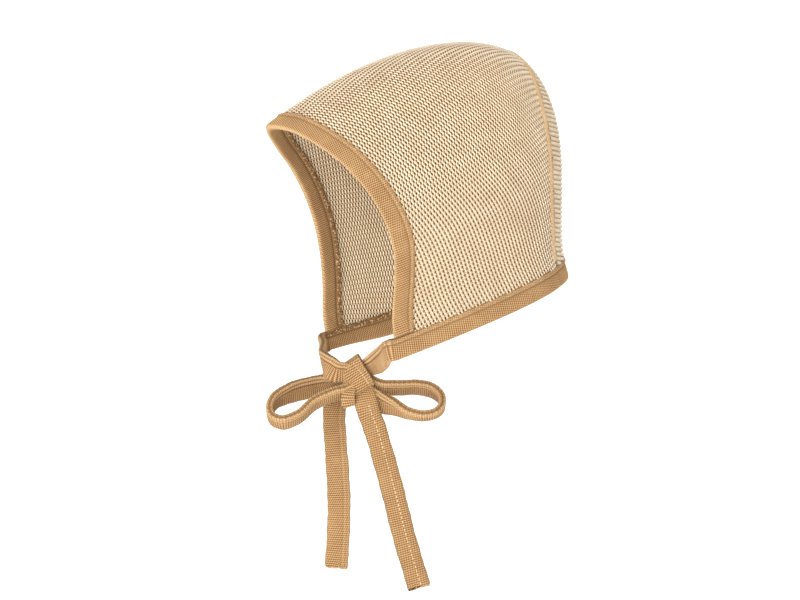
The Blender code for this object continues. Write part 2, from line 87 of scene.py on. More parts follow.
# Sizes of the strips and the bow
BAND_WIDTH = 0.0104
BAND_PROUD = 0.0005
RIDGE_HEIGHT = 0.0007
STRIP_WIDTH = 0.0114
STRIP_THICKNESS = 0.0029
BOW_TURN_DEG = 66.0
KNOT_BEHIND_FACE = 0.0465
KNOT_DROP = 0.1655
KNOT_LENGTH = 0.0172
KNOT_WIDTH = 0.0120
KNOT_DEPTH = 0.0130
KNOT_LEAN_DEG = -36.0
KNOT_RAISE = 0.0024
KNOT_SQUEEZE = 0.60
SQUEEZE_LENGTH = 0.016
TIE_TURN = 0.0022
JOINT_RUN = 0.0003  # first station of a tie past the band's end
CHANGE_RUN = 0.012  # run over which the tie takes on its own section
LOOP_LEAN_DEG = 55.0
FRONT_LOOP_REACH = 0.0432
BACK_LOOP_REACH = 0.0415
LOOP_DROP = 0.0200
FRONT_TAIL_LENGTH = 0.0915
BACK_TAIL_LENGTH = 0.1010
BAND_STATIONS = 1300
STATIONS_A_RIB = 4
THREADS_AN_END = 90  # frayed threads on each tail
SEWN_MIDDLE = 0.28  # the strip's sewn edges lie round this share of its width
SEWN_REACH = 0.17
PLAIN_HEIGHT = 0.52  # height of the strip's face where nothing is sewn, as a share of its thickness
WRAP_SET_IN = 0.8  # the wrap's run is set in by this share of the strip's thickness
WRAP_SQUARENESS = 0.62  # the power that squares the wrap's oval
WRAP_DRIFT = 0.0010  # how far the wrap drifts sideways at its top and its bottom
WRAP_PRESSED = 0.7  # share of its thickness that the strip keeps in the wrap
TAIL_STITCH_PITCH = 0.0021
FACE_BAND_FOOT = 1.01  # the face band ends this many band widths above the neck edge

# Gauge of the knit and of the ribbing
ROW_PITCH = 0.00235
STITCH_PITCH = 0.00175
RIB_PITCH = 0.00108
RIB_HEIGHT = 0.00013
CHAIN_PITCH = 0.0009  # length of a small stitch along a rib
ROW_SLANT = math.tan(math.radians(14.0))
HALF_ARC = 0.142  # mean run from crown to neck edge over the side
ROUND_BACK = 0.0535  # radius of the round back
SKIN_DEPTH = 0.0003  # the ground of the knit is sunk this far into the panel's surface
KNIT_START = 0.93  # the knit's ground starts at this share of a band's width from the cloth's edge
TABLE_REACH = 1.02  # largest u in the tables of runs, just past the neck edge
LONGEST_RUN = 0.16  # and the longest run back from the front edge in them
PANEL_RUN = 0.085  # mean run of the main panel from the front edge to the seam
BACK_STITCHES = 32  # stitches laid out to either side of the back panel's middle
OVERLOCK_PITCH = 0.0021
OVERLOCK_SECOND_PITCH = 0.0013
OVERLOCK_HEIGHT = 0.00022

# Grains of the stitches: their bulge along the row, half their spread across it, half their
# thickness along the cloth and out of it, how far they are raised, and how many rings make one
MAIN_GRAIN = (0.00084, 0.00088, 0.00043, 0.00046, 0.00004, 5)
BACK_GRAIN = (0.00080, 0.00078, 0.00045, 0.00060, 0.00020, 5)
INNER_GRAIN = (0.00030, 0.00084, 0.00050, 0.00048, 0.0, 4)
INNER_LAYER = 0.0001  # the inner stitches sit this deep in the wall

# The cords over the seam between the panels, and how far they reach as a share of the arch
SEAM_REACH = 0.905
SEAM_SWELL_PITCH = 0.0016
SEAM_CORDS = (
    # name, side of the wall, half width
    ("outer_seam", 1.0, 0.0018),
    ("inner_seam", -1.0, 0.0014),
)

# The front edge of the bonnet, from the forehead to the cheek, as shares of the named sizes:
# across of HALF_WIDTH, forward of FRONT_REACH, down of SIDE_DROP
FACE_EDGE = (
    # across, forward, down
    (0.000, 1.000, 0.275),
    (0.260, 0.956, 0.289),
    (0.466, 0.885, 0.329),
    (0.663, 0.792, 0.393),
    (0.799, 0.692, 0.483),
    (0.842, 0.619, 0.571),
    (0.862, 0.577, 0.661),
    (0.843, 0.567, 0.765),
    (0.815, 0.570, 0.875),
    (0.796, 0.545, 1.000),
)
# How far back the right side's edge is drawn at each of these places, in metres
RIGHT_EDGE_DRAWN = (0.0, 0.0, 0.0010, 0.0032, 0.0032, 0.0012, 0.0, 0.0, 0.0, 0.0)

# Section of a band, once round: place along its width as a share, height in shares of BAND_PROUD,
# WALL and RIDGE_HEIGHT, how strongly it is ribbed, its painted shade in a seam or groove (1) and painted
# highlight on a raised sewn edge or fold (-1), and how far it is overlocked
BAND_SKIN = (
    # along, proud, wall, ridge, rib, painted shade (+) and highlight (-), overlock
    (0.03, 0.7, 0.0, 0.0, 1.0, -0.3, 0.0),
    (0.10, 1.1, 0.0, 0.0, 1.0, 0.0, 0.0),
    (0.24, 1.3, 0.0, 0.0, 1.0, 0.0, 0.0),
    (0.40, 1.3, 0.0, 0.0, 1.0, 0.0, 0.0),
    (0.55, 1.2, 0.0, 0.0, 1.0, 0.0, 0.0),
    (0.67, 1.0, 0.0, 0.0, 0.8, 0.1, 0.0),
    (0.73, 0.1, 0.0, 0.0, 0.4, 0.7, 0.0),
    (0.77, 0.9, 0.0, 0.3, 0.8, 0.0, 0.15),
    (0.80, 1.0, 0.0, 0.6, 0.9, -0.2, 0.25),
    (0.84, 1.0, 0.0, 0.75, 0.9, -0.4, 0.3),
    (0.87, 0.9, 0.0, 0.55, 0.9, 0.0, 0.25),
    (0.90, 0.8, 0.0, 0.6, 0.9, -0.3, 0.2),
    (0.94, 0.4, 0.0, 0.2, 0.6, 0.1, 0.1),
    (0.98, -0.9, 0.0, 0.0, 0.2, 1.0, 0.0),
    (0.99, 0.0, -0.5, 0.0, 0.2, 1.0, 0.0),
    (1.00, -0.4, -1.0, -0.3, 0.2, 0.6, 0.6),
    (0.97, -1.0, -1.0, -1.2, 0.3, 0.0, 1.0),
    (0.90, -1.0, -1.0, -1.5, 0.3, 0.0, 1.0),
    (0.84, -1.0, -1.0, -1.4, 0.3, 0.0, 1.0),
    (0.78, -1.0, -1.0, -1.1, 0.3, 0.0, 1.0),
    (0.73, -1.0, -1.0, -0.4, 0.3, 0.5, 0.5),
    (0.69, -0.2, -1.0, 0.0, 0.3, 1.0, 0.0),
    (0.64, -1.0, -1.0, 0.0, 0.8, 0.2, 0.0),
    (0.50, -1.2, -1.0, 0.0, 1.0, 0.0, 0.0),
    (0.36, -1.2, -1.0, 0.0, 1.0, 0.0, 0.0),
    (0.22, -1.2, -1.0, 0.0, 1.0, 0.0, 0.0),
    (0.10, -1.1, -1.0, 0.0, 1.0, 0.0, 0.0),
    (0.03, -0.7, -0.95, 0.0, 1.0, 0.0, 0.0),
    (0.00, 0.0, -0.75, 0.0, 0.9, -0.4, 0.0),
    (-0.012, 0.0, -0.30, 0.0, 0.9, -0.6, 0.0),
)

# Section of a tie, loop or tail on one of its faces, from the fold to the sewn edge: shares of its
# width and thickness, how strongly it is ribbed, and its painted shade in a groove (positive) and painted
# highlight on the fold and the cords (negative). The first row lies in the fold and the last between the
# sewn edges, and the other face mirrors the rows between them
STRIP_SKIN = (
    # width, thickness, rib, painted shade (+) and highlight (-)
    (-0.50, 0.00, 1.0, -0.4),
    (-0.47, 0.30, 1.0, 0.0),
    (-0.41, 0.47, 1.0, 0.0),
    (-0.26, 0.52, 1.0, 0.0),
    (-0.12, 0.54, 1.0, 0.0),
    (0.03, 0.54, 1.0, 0.0),
    (0.13, 0.52, 0.8, 0.0),
    (0.18, 0.34, 0.3, 1.0),
    (0.225, 0.54, 0.5, 0.0),
    (0.27, 0.62, 0.9, -0.6),
    (0.315, 0.54, 0.4, 0.0),
    (0.345, 0.38, 0.3, 0.8),
    (0.385, 0.56, 0.8, -0.2),
    (0.44, 0.54, 0.9, -0.55),
    (0.49, 0.34, 0.8, -0.2),
    (0.45, 0.00, 0.3, 0.9),
)

# The turn of the wrap under the knot, in the bow's axes
KNOT_FOLD = (
    # across, forward, up, edge across, edge forward, edge up
    (-3.0, 1.0, 3.0, 1.0, 0.0, 0.1),
    (-3.4, 3.4, 0.0, 1.0, 0.0, 0.1),
    (-3.9, 4.9, -4.5, 1.0, 0.0, 0.1),
    (-4.3, 5.4, -8.6, 1.0, 0.0, 0.25),
    (-4.0, 3.6, -11.4, 1.0, 0.0, 0.3),
    (-3.4, 0.4, -9.5, 1.0, 0.0, 0.2),
    (-3.2, -1.0, -5.0, 1.0, 0.0, 0.1),
    (-3.0, -1.0, -1.0, 1.0, 0.0, 0.1),
)

# Routes of the strips in the bow's axes, in millimetres from the middle of the knot, and the way
# that the strip's upper edge points there
RIGHT_TIE_ROUTE = (
    # across, forward, up, edge across, edge forward, edge up
    (-18.0, -35.6, 16.2, -0.10, 0.05, 0.98),
    (-17.4, -30.0, 13.6, -0.05, 0.12, 0.98),
    (-16.9, -19.0, 11.0, -0.15, 0.20, 0.96),
    (-16.6, -9.0, 9.6, -0.20, 0.10, 0.96),
    (-15.6, -1.5, 8.6, -0.15, -0.15, 0.96),
    (-13.2, 3.6, 6.2, 0.10, -0.10, 0.98),
    (-10.3, 5.2, 4.4, 0.22, 0.00, 0.96),
    (-6.0, 4.4, 4.0, 0.25, 0.00, 0.96),
    (0.0, 3.0, 3.0, 0.25, 0.00, 0.96),
)
LEFT_TIE_ROUTE = (
    # across, forward, up, edge across, edge forward, edge up
    (15.2, 36.2, 14.5, -0.15, 0.08, 0.98),
    (14.0, 31.0, 13.2, -0.22, 0.05, 0.97),
    (12.4, 21.0, 11.3, -0.38, 0.05, 0.92),
    (10.6, 13.0, 9.7, -0.48, 0.05, 0.87),
    (8.6, 6.5, 8.1, -0.55, 0.05, 0.83),
    (5.4, 2.0, 6.5, -0.58, 0.05, 0.81),
    (1.0, 0.0, 4.0, -0.58, 0.00, 0.81),
)

# The middle line of each loop: along as a share of the loop's reach, forward and up as shares of
# LOOP_DROP, and how far the strip leans as a share of LOOP_LEAN_DEG
FRONT_LOOP = (
    # along, forward, up, lean
    (0.00, -0.090, 0.165, 1.00),
    (0.12, -0.115, 0.105, 1.00),
    (0.25, -0.240, -0.025, 1.00),
    (0.40, -0.330, -0.140, 0.45),
    (0.58, -0.235, -0.215, 0.35),
    (0.80, -0.030, -0.355, 0.60),
    (0.94, 0.175, -0.535, 0.85),
    (0.98, 0.340, -0.750, 1.00),
    (0.94, 0.505, -0.930, 1.05),
    (0.84, 0.590, -1.010, 1.05),
    (0.67, 0.505, -0.900, 1.05),
    (0.47, 0.290, -0.545, 1.05),
    (0.25, 0.190, -0.340, 1.05),
    (0.12, 0.140, -0.255, 1.05),
    (0.00, 0.100, 0.010, 1.00),
)
BACK_LOOP = (
    # along, forward, up, lean
    (0.03, -0.135, 0.135, 1.00),
    (0.14, -0.160, -0.020, 1.00),
    (0.28, -0.150, -0.170, 1.00),
    (0.50, -0.135, -0.200, 1.00),
    (0.72, -0.140, -0.190, 1.00),
    (0.91, -0.070, -0.290, 1.00),
    (1.00, 0.070, -0.470, 1.10),
    (1.00, 0.195, -0.630, 1.20),
    (0.92, 0.340, -0.800, 1.28),
    (0.80, 0.370, -0.860, 1.28),
    (0.61, 0.300, -0.800, 1.20),
    (0.44, 0.135, -0.650, 0.80),
    (0.28, 0.030, -0.540, 0.35),
    (0.15, 0.010, -0.370, 0.05),
    (0.06, 0.035, -0.190, 0.00),
)

# Tails: across and forward in millimetres, down as a share of the tail's length
FRONT_TAIL = (
    # across, forward, down
    (-2.4, -3.0, -0.030),
    (-3.0, -8.4, -0.020),
    (-5.2, -11.6, 0.020),
    (-7.8, -12.2, 0.070),
    (-10.8, -11.6, 0.130),
    (-11.4, -9.5, 0.210),
    (-10.7, -6.0, 0.33),
    (-9.6, -3.0, 0.48),
    (-8.8, -1.0, 0.66),
    (-9.2, -0.5, 0.84),
    (-10.2, -0.5, 1.00),
)
BACK_TAIL = (
    # across, forward, down
    (3.4, 0.4, -0.02),
    (3.7, 1.4, 0.05),
    (4.4, 3.0, 0.10),
    (5.6, 4.2, 0.15),
    (7.6, 4.5, 0.20),
    (12.6, 3.4, 0.36),
    (17.6, 2.4, 0.54),
    (22.6, 1.6, 0.74),
    (30.4, 1.0, 1.00),
)

# The camera's directions and place, the backdrop's curve, and the lights
VIEW_RIGHT = np.array([0.40674, 0.91355, 0.0])
VIEW_BACK = np.array([0.91355, -0.40674, 0.0])
CAMERA_PLACE = np.array([1.00289, -0.48446, -0.1262])
SWEEP_HALF_WIDTH = 3.6
SWEEP = (
    # away from the camera, up
    (-2.6, -0.36),
    (1.7, -0.36),
    (2.1, -0.28),
    (2.35, -0.02),
    (2.45, 0.4),
    (2.45, 2.4),
)
LIGHT_AIM = np.array([0.0, -0.06, -0.08])
LIGHTS = (
    # name, towards the camera, right and up from the aim, power, size
    ("key", 0.75, -0.35, 1.05, 6.0, 0.6),
    ("fill", 1.30, -0.30, 0.05, 10.5, 0.7),
    ("top", -0.15, 0.0, 1.20, 4.5, 0.8),
    ("nape", 0.45, 1.15, 0.25, 4.0, 0.7),
    ("opening", 0.75, -0.95, -0.20, 9.0, 0.7),
)

# Shell


def spline(knots, values, at):
    """A smooth curve through the values at the knots: cubic pieces whose slope at each knot is the
    slope between its neighbours, read at each place in at."""
    slope = np.gradient(values, knots, axis=0)
    i = np.clip(np.searchsorted(knots, at) - 1, 0, len(knots) - 2)
    step = (knots[i + 1] - knots[i])[..., None]
    t = (at - knots[i])[..., None] / step
    start = (1 + 2 * t) * (1 - t) ** 2 * values[i] + t * (1 - t) ** 2 * step * slope[i]
    end = t * t * (3 - 2 * t) * values[i + 1] - t * t * (1 - t) * step * slope[i + 1]
    return start + end


def along_curve(points, count):
    """The smooth curve through a route's points, read at evenly spaced places."""
    points = np.array(points, float)
    steps = np.linalg.norm(np.diff(points[:, :3], axis=0), axis=1)
    knots = np.concatenate([[0.0], np.cumsum(steps)])
    return spline(knots, points, np.linspace(0.0, knots[-1], count))


def unit(vectors):
    """Each vector divided by its length."""
    return vectors / np.maximum(np.linalg.norm(vectors, axis=-1, keepdims=True), 1e-12)


def run_length(points):
    """Length along a row of points, from 0 at the first."""
    steps = np.linalg.norm(np.diff(points, axis=0), axis=-1)
    return np.concatenate([np.zeros_like(steps[:1]), np.cumsum(steps, axis=0)])


def face_edge(u):
    """The front edge at share u: -1 at the right cheek, 0 over the forehead, 1 at the left cheek."""
    rows = np.array(FACE_EDGE)
    half = rows * [HALF_WIDTH, -FRONT_REACH, -SIDE_DROP]
    right = half * [-1, 1, 1] + np.outer(RIGHT_EDGE_DRAWN, [0.0, 1.0, 0.0])
    whole = np.concatenate([right[:0:-1], half])
    knots = run_length(whole)
    return spline(2 * knots / knots[-1] - 1, whole, u)


def hem_drop(across_share):
    """Depth of the neck edge on the back panel, deeper towards the seams."""
    return NAPE_DROP + (SEAM_FOOT_DROP - NAPE_DROP) * across_share**2


def back_wall(x, z, hem):
    """The round back above a place: a flattened ball above the shoulder height and an upright oval
    below it, flaring out over the last stretch above the hem."""
    rise = np.clip((z + SHOULDER_DROP) / SHOULDER_RISE, 0.0, 1.0)
    size = np.maximum(1 - rise**DOME_RISE_POWER, 0.0) ** (1 / DOME_FLATNESS)
    inside = np.maximum(size**2 - (x / HALF_WIDTH) ** 2, 0.0)
    near_hem = np.clip(1 - (z - hem) / FLARE_HEIGHT, 0.0, 1.0)
    flare = NAPE_FLARE * near_hem**2
    return -BACK_CENTRE + (BACK_DEPTH + flare) * np.sqrt(inside)


def arch_half(low):
    """Half width of the back panel at a share of the way down from its widest place to its foot."""
    return ARCH_HALF_WIDTH + (ARCH_FOOT_HALF_WIDTH - ARCH_HALF_WIDTH) * low**FOOT_POWER


def back_surface(p, q):
    """The back panel: p runs across from -1 to 1; q runs up from -1 at the hem over 0 at the arch's
    widest place to 1 at its top. The upper part maps a square onto the arch's round top."""
    top, low = np.clip(q, 0, 1), np.clip(-q, 0, None)
    wide = 1 - top**ARCH_POWER / 2
    tall = 1 - np.abs(p) ** ARCH_POWER / 2
    x = p * arch_half(low) * wide ** (1 / ARCH_POWER)
    hem = -hem_drop(p)
    upper = -ARCH_SPRING_DROP + ARCH_RISE * top * tall ** (1 / ARCH_POWER)
    z = np.where(q >= 0, upper, -ARCH_SPRING_DROP + low * (hem + ARCH_SPRING_DROP))
    return np.stack([x, back_wall(x, z, hem), z], axis=-1)


def arch_path():
    """The back panel's outline from the top of the arch down its left side to the hem, as the shares
    of its length and the points there."""
    top = np.stack([np.linspace(0, 1, 60), np.ones(60)], axis=1)
    side = np.stack([np.ones(120), np.linspace(1, -1, 121)[1:]], axis=1)
    corners = np.concatenate([top, side])
    points = back_surface(corners[:, 0], corners[:, 1])
    length = run_length(points)
    return length / length[-1], points, length[-1]


ARCH_SHARE, ARCH_POINTS, ARCH_LENGTH = arch_path()


def seam_arch(u):
    """The sewn seam at share u, matching the front edge share for share and straight past its foot."""
    place = np.stack([np.interp(np.abs(u), ARCH_SHARE, ARCH_POINTS[:, k]) for k in range(3)], -1)
    foot = unit(ARCH_POINTS[-1] - ARCH_POINTS[-4]) * ARCH_LENGTH
    place = place + np.clip(np.abs(u) - 1, 0, None)[..., None] * foot
    return place * np.stack([np.where(u < 0, -1.0, 1.0), np.ones_like(u), np.ones_like(u)], -1)


def seam_direction(u):
    """The way the main panel runs as it meets the seam: square to the seam, in the back's surface."""
    along = unit(seam_arch(u + EDGE_STEP) - seam_arch(u - EDGE_STEP))
    place = seam_arch(u)
    x, z, hem = place[..., 0], place[..., 2], -SEAM_FOOT_DROP
    slope_x = (back_wall(x + WALL_STEP, z, hem) - back_wall(x - WALL_STEP, z, hem)) / (2 * WALL_STEP)
    slope_z = (back_wall(x, z + WALL_STEP, hem) - back_wall(x, z - WALL_STEP, hem)) / (2 * WALL_STEP)
    outward = unit(np.stack([-slope_x, np.ones_like(slope_x), -slope_z], axis=-1))
    return unit(np.cross(outward, along))


def turned(vectors, axes, degrees):
    """Each vector turned about its own unit axis."""
    angle = np.radians(degrees)[..., None]
    level = (axes * vectors).sum(-1, keepdims=True) * axes * (1 - np.cos(angle))
    return vectors * np.cos(angle) + np.cross(axes, vectors) * np.sin(angle) + level


def right_side_lift(u, v):
    """How far the right side is drawn up near its neck edge: up at the cheek, down beside it."""
    low = np.clip((-u - ASKEW_FROM) / (1 - ASKEW_FROM), 0, None) ** 2
    raised = RIGHT_CHEEK_RAISE * np.clip(1 - v / CHEEK_SHARE, 0, 1) ** 2
    sagging = RIGHT_SIDE_SAG * np.sin(np.pi * np.clip(v, 0, 1)) ** 2.5
    return low * (raised - sagging)


def main_surface(u, v):
    """The main panel's outside: u across as for the front edge, v back from 0 at the front edge to 1
    at the seam. Each line of equal u is a cubic curve that leaves the front edge lifted off the
    straight line to the seam and meets the seam in the round back's own surface."""
    front, seam = face_edge(u), seam_arch(u)
    chord = seam - front
    length = np.linalg.norm(chord, axis=-1, keepdims=True)
    high, low = u + EDGE_STEP, u - EDGE_STEP
    across = unit(face_edge(high) + seam_arch(high) - face_edge(low) - seam_arch(low))
    lift = CROWN_LIFT_DEG + (CHEEK_LIFT_DEG - CROWN_LIFT_DEG) * np.abs(u)
    leave = turned(unit(chord), across, lift) * length * FRONT_TENSION
    arrive = seam_direction(u) * length * SEAM_TENSION
    t = v[..., None]
    ends = front * (1 + 2 * t) * (1 - t) ** 2 + seam * t * t * (3 - 2 * t)
    upward = right_side_lift(u, v)[..., None] * [0.0, 0.0, 1.0]
    return ends + leave * t * (1 - t) ** 2 - arrive * t * t * (1 - t) + upward


def with_normals(surface, a, b, facing):
    """Points of a surface, and its unit normals there from small steps along both parameters."""
    along_a = surface(a + SURFACE_STEP, b) - surface(a - SURFACE_STEP, b)
    further, nearer = np.clip(b + SURFACE_STEP, -1, 1), np.clip(b - SURFACE_STEP, -1, 1)
    along_b = surface(a, further) - surface(a, nearer)
    return surface(a, b), unit(np.cross(along_a, along_b)) * facing


def front_share(u):
    """Share of v that one band width takes at u."""
    chord = np.linalg.norm(seam_arch(u) - face_edge(u), axis=-1)
    return BAND_WIDTH / (chord * FRONT_TENSION)


def hem_share(v, height):
    """How far u stays short of 1 at a height above the neck edge."""
    edge, above = np.ones_like(v), np.full_like(v, 1 - HEM_STRETCH)
    stretch = np.linalg.norm(main_surface(edge, v) - main_surface(above, v), axis=-1)
    return height * HEM_STRETCH / stretch


def neck_ring(heights, count):
    """Points and normals round the neck, from the left cheek over the nape to the right cheek, at
    each height above the neck edge: one row for each station, one column for each height."""
    v = np.linspace(0, 1, count // 3 + 1)[:-1]
    v, h = np.meshgrid(v, heights, indexing="ij")
    left = with_normals(main_surface, 1 - hem_share(v, h), v, 1)
    right = with_normals(main_surface, (hem_share(v, h) - 1)[::-1], v[::-1], 1)
    p, h = np.meshgrid(np.linspace(1, -1, count // 3 + 1), heights, indexing="ij")
    back = with_normals(back_surface, p, h / (hem_drop(p) - ARCH_SPRING_DROP) - 1, -1)
    return tuple(np.concatenate([left[k], back[k], right[k]]) for k in range(2))


# Meshes


def signed_volume(points, quads):
    """Six times the volume inside closed faces, negative where they point inwards."""
    a, b, c, d = (points[quads[:, k]] for k in range(4))
    return (a * np.cross(b, c)).sum() + (a * np.cross(c, d)).sum()


def finished(name, points, quads, caps, uv, material, zones=None):
    """A piece from its points, four-sided faces and end faces, with its map, zones, finish and body."""
    points = points.reshape(-1, 3)
    if signed_volume(points, quads) < 0:
        quads = quads[:, ::-1]
        caps = [cap[::-1] for cap in caps]
    sizes = np.concatenate([np.full(len(quads), 4), [len(cap) for cap in caps]]).astype(int)
    corners = np.concatenate([quads.ravel()] + [np.array(cap) for cap in caps]).astype(int)
    mesh = bpy.data.meshes.new(name)
    mesh.vertices.add(len(points))
    mesh.vertices.foreach_set("co", points.ravel())
    mesh.loops.add(len(corners))
    mesh.loops.foreach_set("vertex_index", corners)
    mesh.polygons.add(len(sizes))
    mesh.polygons.foreach_set("loop_start", np.cumsum(sizes) - sizes)
    mesh.update(calc_edges=True)
    mesh.shade_smooth()
    if uv is not None:
        layer = mesh.uv_layers.new(name="pattern")
        layer.data.foreach_set("uv", uv.reshape(-1, 2)[corners].ravel())
    if zones is not None:
        layer = mesh.attributes.new("zones", "FLOAT_VECTOR", "POINT")
        layer.data.foreach_set("vector", zones.reshape(-1))
    mesh.materials.append(material)
    piece = bpy.data.objects.new(name, mesh)
    bpy.context.scene.collection.objects.link(piece)
    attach(piece, "root")
    return piece


def tube(name, rings, uv, material, zones=None):
    """A closed piece through a row of like rings, with a face over each end."""
    stations, around = rings.shape[:2]
    i, j = np.meshgrid(np.arange(stations - 1), np.arange(around), indexing="ij")
    k = (j + 1) % around
    corners = [i * around + j, i * around + k, (i + 1) * around + k, (i + 1) * around + j]
    quads = np.stack(corners, -1).reshape(-1, 4)
    last = (stations - 1) * around
    caps = [list(range(around))[::-1], list(range(last, last + around))]
    return finished(name, rings, quads, caps, uv, material, zones)


def shell(name, outer, inner, uv, material):
    """A closed wall between two like grids of points, with its rim."""
    rows, columns = outer.shape[:2]
    i, j = np.meshgrid(np.arange(rows - 1), np.arange(columns - 1), indexing="ij")
    a = (i * columns + j).ravel()
    front = np.stack([a, a + columns, a + columns + 1, a + 1], -1)
    size = rows * columns
    index = np.arange(size).reshape(rows, columns)
    rim = np.concatenate([index[0, :], index[1:, -1], index[-1, -2::-1], index[-2:0:-1, 0]])
    after = np.roll(rim, -1)
    wall = np.stack([rim, after, after + size, rim + size], -1)
    quads = np.concatenate([front, front[:, ::-1] + size, wall])
    points = np.concatenate([outer.reshape(-1, 3), inner.reshape(-1, 3)])
    return finished(name, points, quads, [], np.concatenate([uv, uv]), material)


def many(name, template, faces, places, frames, material, slot):
    """One piece of many like small bodies. The template's points are carried to each place along the
    three directions of its frame."""
    points = places[:, None, :] + np.einsum("tk,nkc->ntc", template, frames)
    count = len(template)
    quads = faces[None] + (np.arange(len(places)) * count)[:, None, None]
    return finished(name, points, quads.reshape(-1, 4), [], None, material)


# Finishes


def group(name, inputs, outputs):
    """An empty shader group with named inputs and outputs; each input is (name, kind, value)."""
    tree = bpy.data.node_groups.new(name, "ShaderNodeTree")
    for label, kind, value in inputs:
        socket = tree.interface.new_socket(label, in_out="INPUT", socket_type=kind)
        if value is not None:
            socket.default_value = value
    for label, kind in outputs:
        tree.interface.new_socket(label, in_out="OUTPUT", socket_type=kind)
    return tree, tree.nodes.new("NodeGroupInput"), tree.nodes.new("NodeGroupOutput")


def maths(tree, operation, first, second=None, third=None, clamp=False):
    """A Math node on values or sockets; returns its result."""
    node = tree.nodes.new("ShaderNodeMath")
    node.operation = operation
    node.use_clamp = clamp
    for k, value in enumerate((first, second, third)):
        if value is None:
            continue
        if isinstance(value, (int, float)):
            node.inputs[k].default_value = value
        else:
            tree.links.new(value, node.inputs[k])
    return node.outputs[0]


def blended(tree, factor, first, second):
    """A colour between two colours or sockets."""
    node = tree.nodes.new("ShaderNodeMix")
    node.data_type = "RGBA"
    for socket, value in zip((node.inputs[0], node.inputs[6], node.inputs[7]), (factor, first, second)):
        if isinstance(value, (int, float)):
            socket.default_value = value
        elif isinstance(value, tuple):
            socket.default_value = (*value, 1.0)
        else:
            tree.links.new(value, socket)
    return node.outputs[2]


def noise(tree, place, scale, detail):
    """A noise over a place; the scale is a value or a socket."""
    node = tree.nodes.new("ShaderNodeTexNoise")
    node.inputs["Detail"].default_value = detail
    tree.links.new(place, node.inputs["Vector"])
    if isinstance(scale, float):
        node.inputs["Scale"].default_value = scale
    else:
        tree.links.new(scale, node.inputs["Scale"])
    return node.outputs["Fac"]


def wool_fibre_group():
    """Wool's fibres and its uneven dye: a fine and a broad noise, as a shade and as a height."""
    tree, source, result = group(
        "wool fibres",
        [("Place", "NodeSocketVector", None), ("Fine Scale", "NodeSocketFloat", 2400.0)],
        [("Shade", "NodeSocketFloat"), ("Height", "NodeSocketFloat")],
    )
    fine = noise(tree, source.outputs["Place"], source.outputs["Fine Scale"], 3.0)
    broad = noise(tree, source.outputs["Place"], 110.0, 3.0)
    shade = maths(tree, "MULTIPLY_ADD", fine, 0.6, maths(tree, "MULTIPLY", broad, 0.4))
    tree.links.new(shade, result.inputs["Shade"])
    tree.links.new(fine, result.inputs["Height"])
    return tree


def lattice_spot_group():
    """A soft oval spot once in each cell of a lattice. The distance from the spot's place in its cell
    is measured in shares of the spot's size, and fades out at 1."""
    tree, source, result = group(
        "lattice spots",
        [
            ("Lattice", "NodeSocketVector", None),
            ("Across", "NodeSocketFloat", 0.0),
            ("Up", "NodeSocketFloat", 0.0),
            ("Width", "NodeSocketFloat", 0.25),
            ("Height", "NodeSocketFloat", 0.25),
            ("Slant", "NodeSocketFloat", 0.0),
        ],
        [("Mask", "NodeSocketFloat")],
    )
    split = tree.nodes.new("ShaderNodeSeparateXYZ")
    tree.links.new(source.outputs["Lattice"], split.inputs[0])
    shift = maths(tree, "SUBTRACT", split.outputs["X"], source.outputs["Across"])
    across = maths(tree, "SUBTRACT", maths(tree, "FRACT", maths(tree, "ADD", shift, 0.5)), 0.5)
    shift = maths(tree, "SUBTRACT", split.outputs["Y"], source.outputs["Up"])
    up = maths(tree, "SUBTRACT", maths(tree, "FRACT", maths(tree, "ADD", shift, 0.5)), 0.5)
    leaned = maths(tree, "MULTIPLY_ADD", up, source.outputs["Slant"], across)
    wide = maths(tree, "DIVIDE", leaned, source.outputs["Width"])
    tall = maths(tree, "DIVIDE", up, source.outputs["Height"])
    square = maths(tree, "ADD", maths(tree, "MULTIPLY", wide, wide), maths(tree, "MULTIPLY", tall, tall))
    mask = maths(tree, "SUBTRACT", 1.0, square, clamp=True)
    tree.links.new(mask, result.inputs["Mask"])
    return tree


WOOL_FIBRES = wool_fibre_group()
LATTICE_SPOTS = lattice_spot_group()


def placed(tree, kind, **values):
    """A group in a material, with its values set or linked by input name."""
    node = tree.nodes.new("ShaderNodeGroup")
    node.node_tree = kind
    for label, value in values.items():
        socket = node.inputs[label.replace("_", " ")]
        if isinstance(value, (int, float)):
            socket.default_value = value
        else:
            tree.links.new(value, socket)
    return node


def wool_material(name, sheen):
    """A wool surface's shader with its fibre bump, ready for its colour."""
    material = bpy.data.materials.new(name)
    material.use_nodes = True
    tree = material.node_tree
    shader = tree.nodes["Principled BSDF"]
    shader.inputs["Roughness"].default_value = 0.95
    shader.inputs["Specular IOR Level"].default_value = 0.15
    shader.inputs["Sheen Weight"].default_value = sheen
    shader.inputs["Sheen Roughness"].default_value = 0.5
    place = tree.nodes.new("ShaderNodeTexCoord")
    fibres = placed(tree, WOOL_FIBRES, Place=place.outputs["Object"])
    bump = tree.nodes.new("ShaderNodeBump")
    bump.inputs["Strength"].default_value = 0.5
    bump.inputs["Distance"].default_value = 0.0002
    tree.links.new(fibres.outputs["Height"], bump.inputs["Height"])
    tree.links.new(bump.outputs["Normal"], shader.inputs["Normal"])
    return material, tree, shader, place, fibres


def plain_wool(name, light, dark):
    """Plain yarn, from light to dark with its fibres."""
    material, tree, shader, _, fibres = wool_material(name, 0.15)
    factor = maths(tree, "MULTIPLY_ADD", fibres.outputs["Shade"], 2.4, -0.7, clamp=True)
    tree.links.new(blended(tree, factor, light, dark), shader.inputs["Base Color"])
    return material


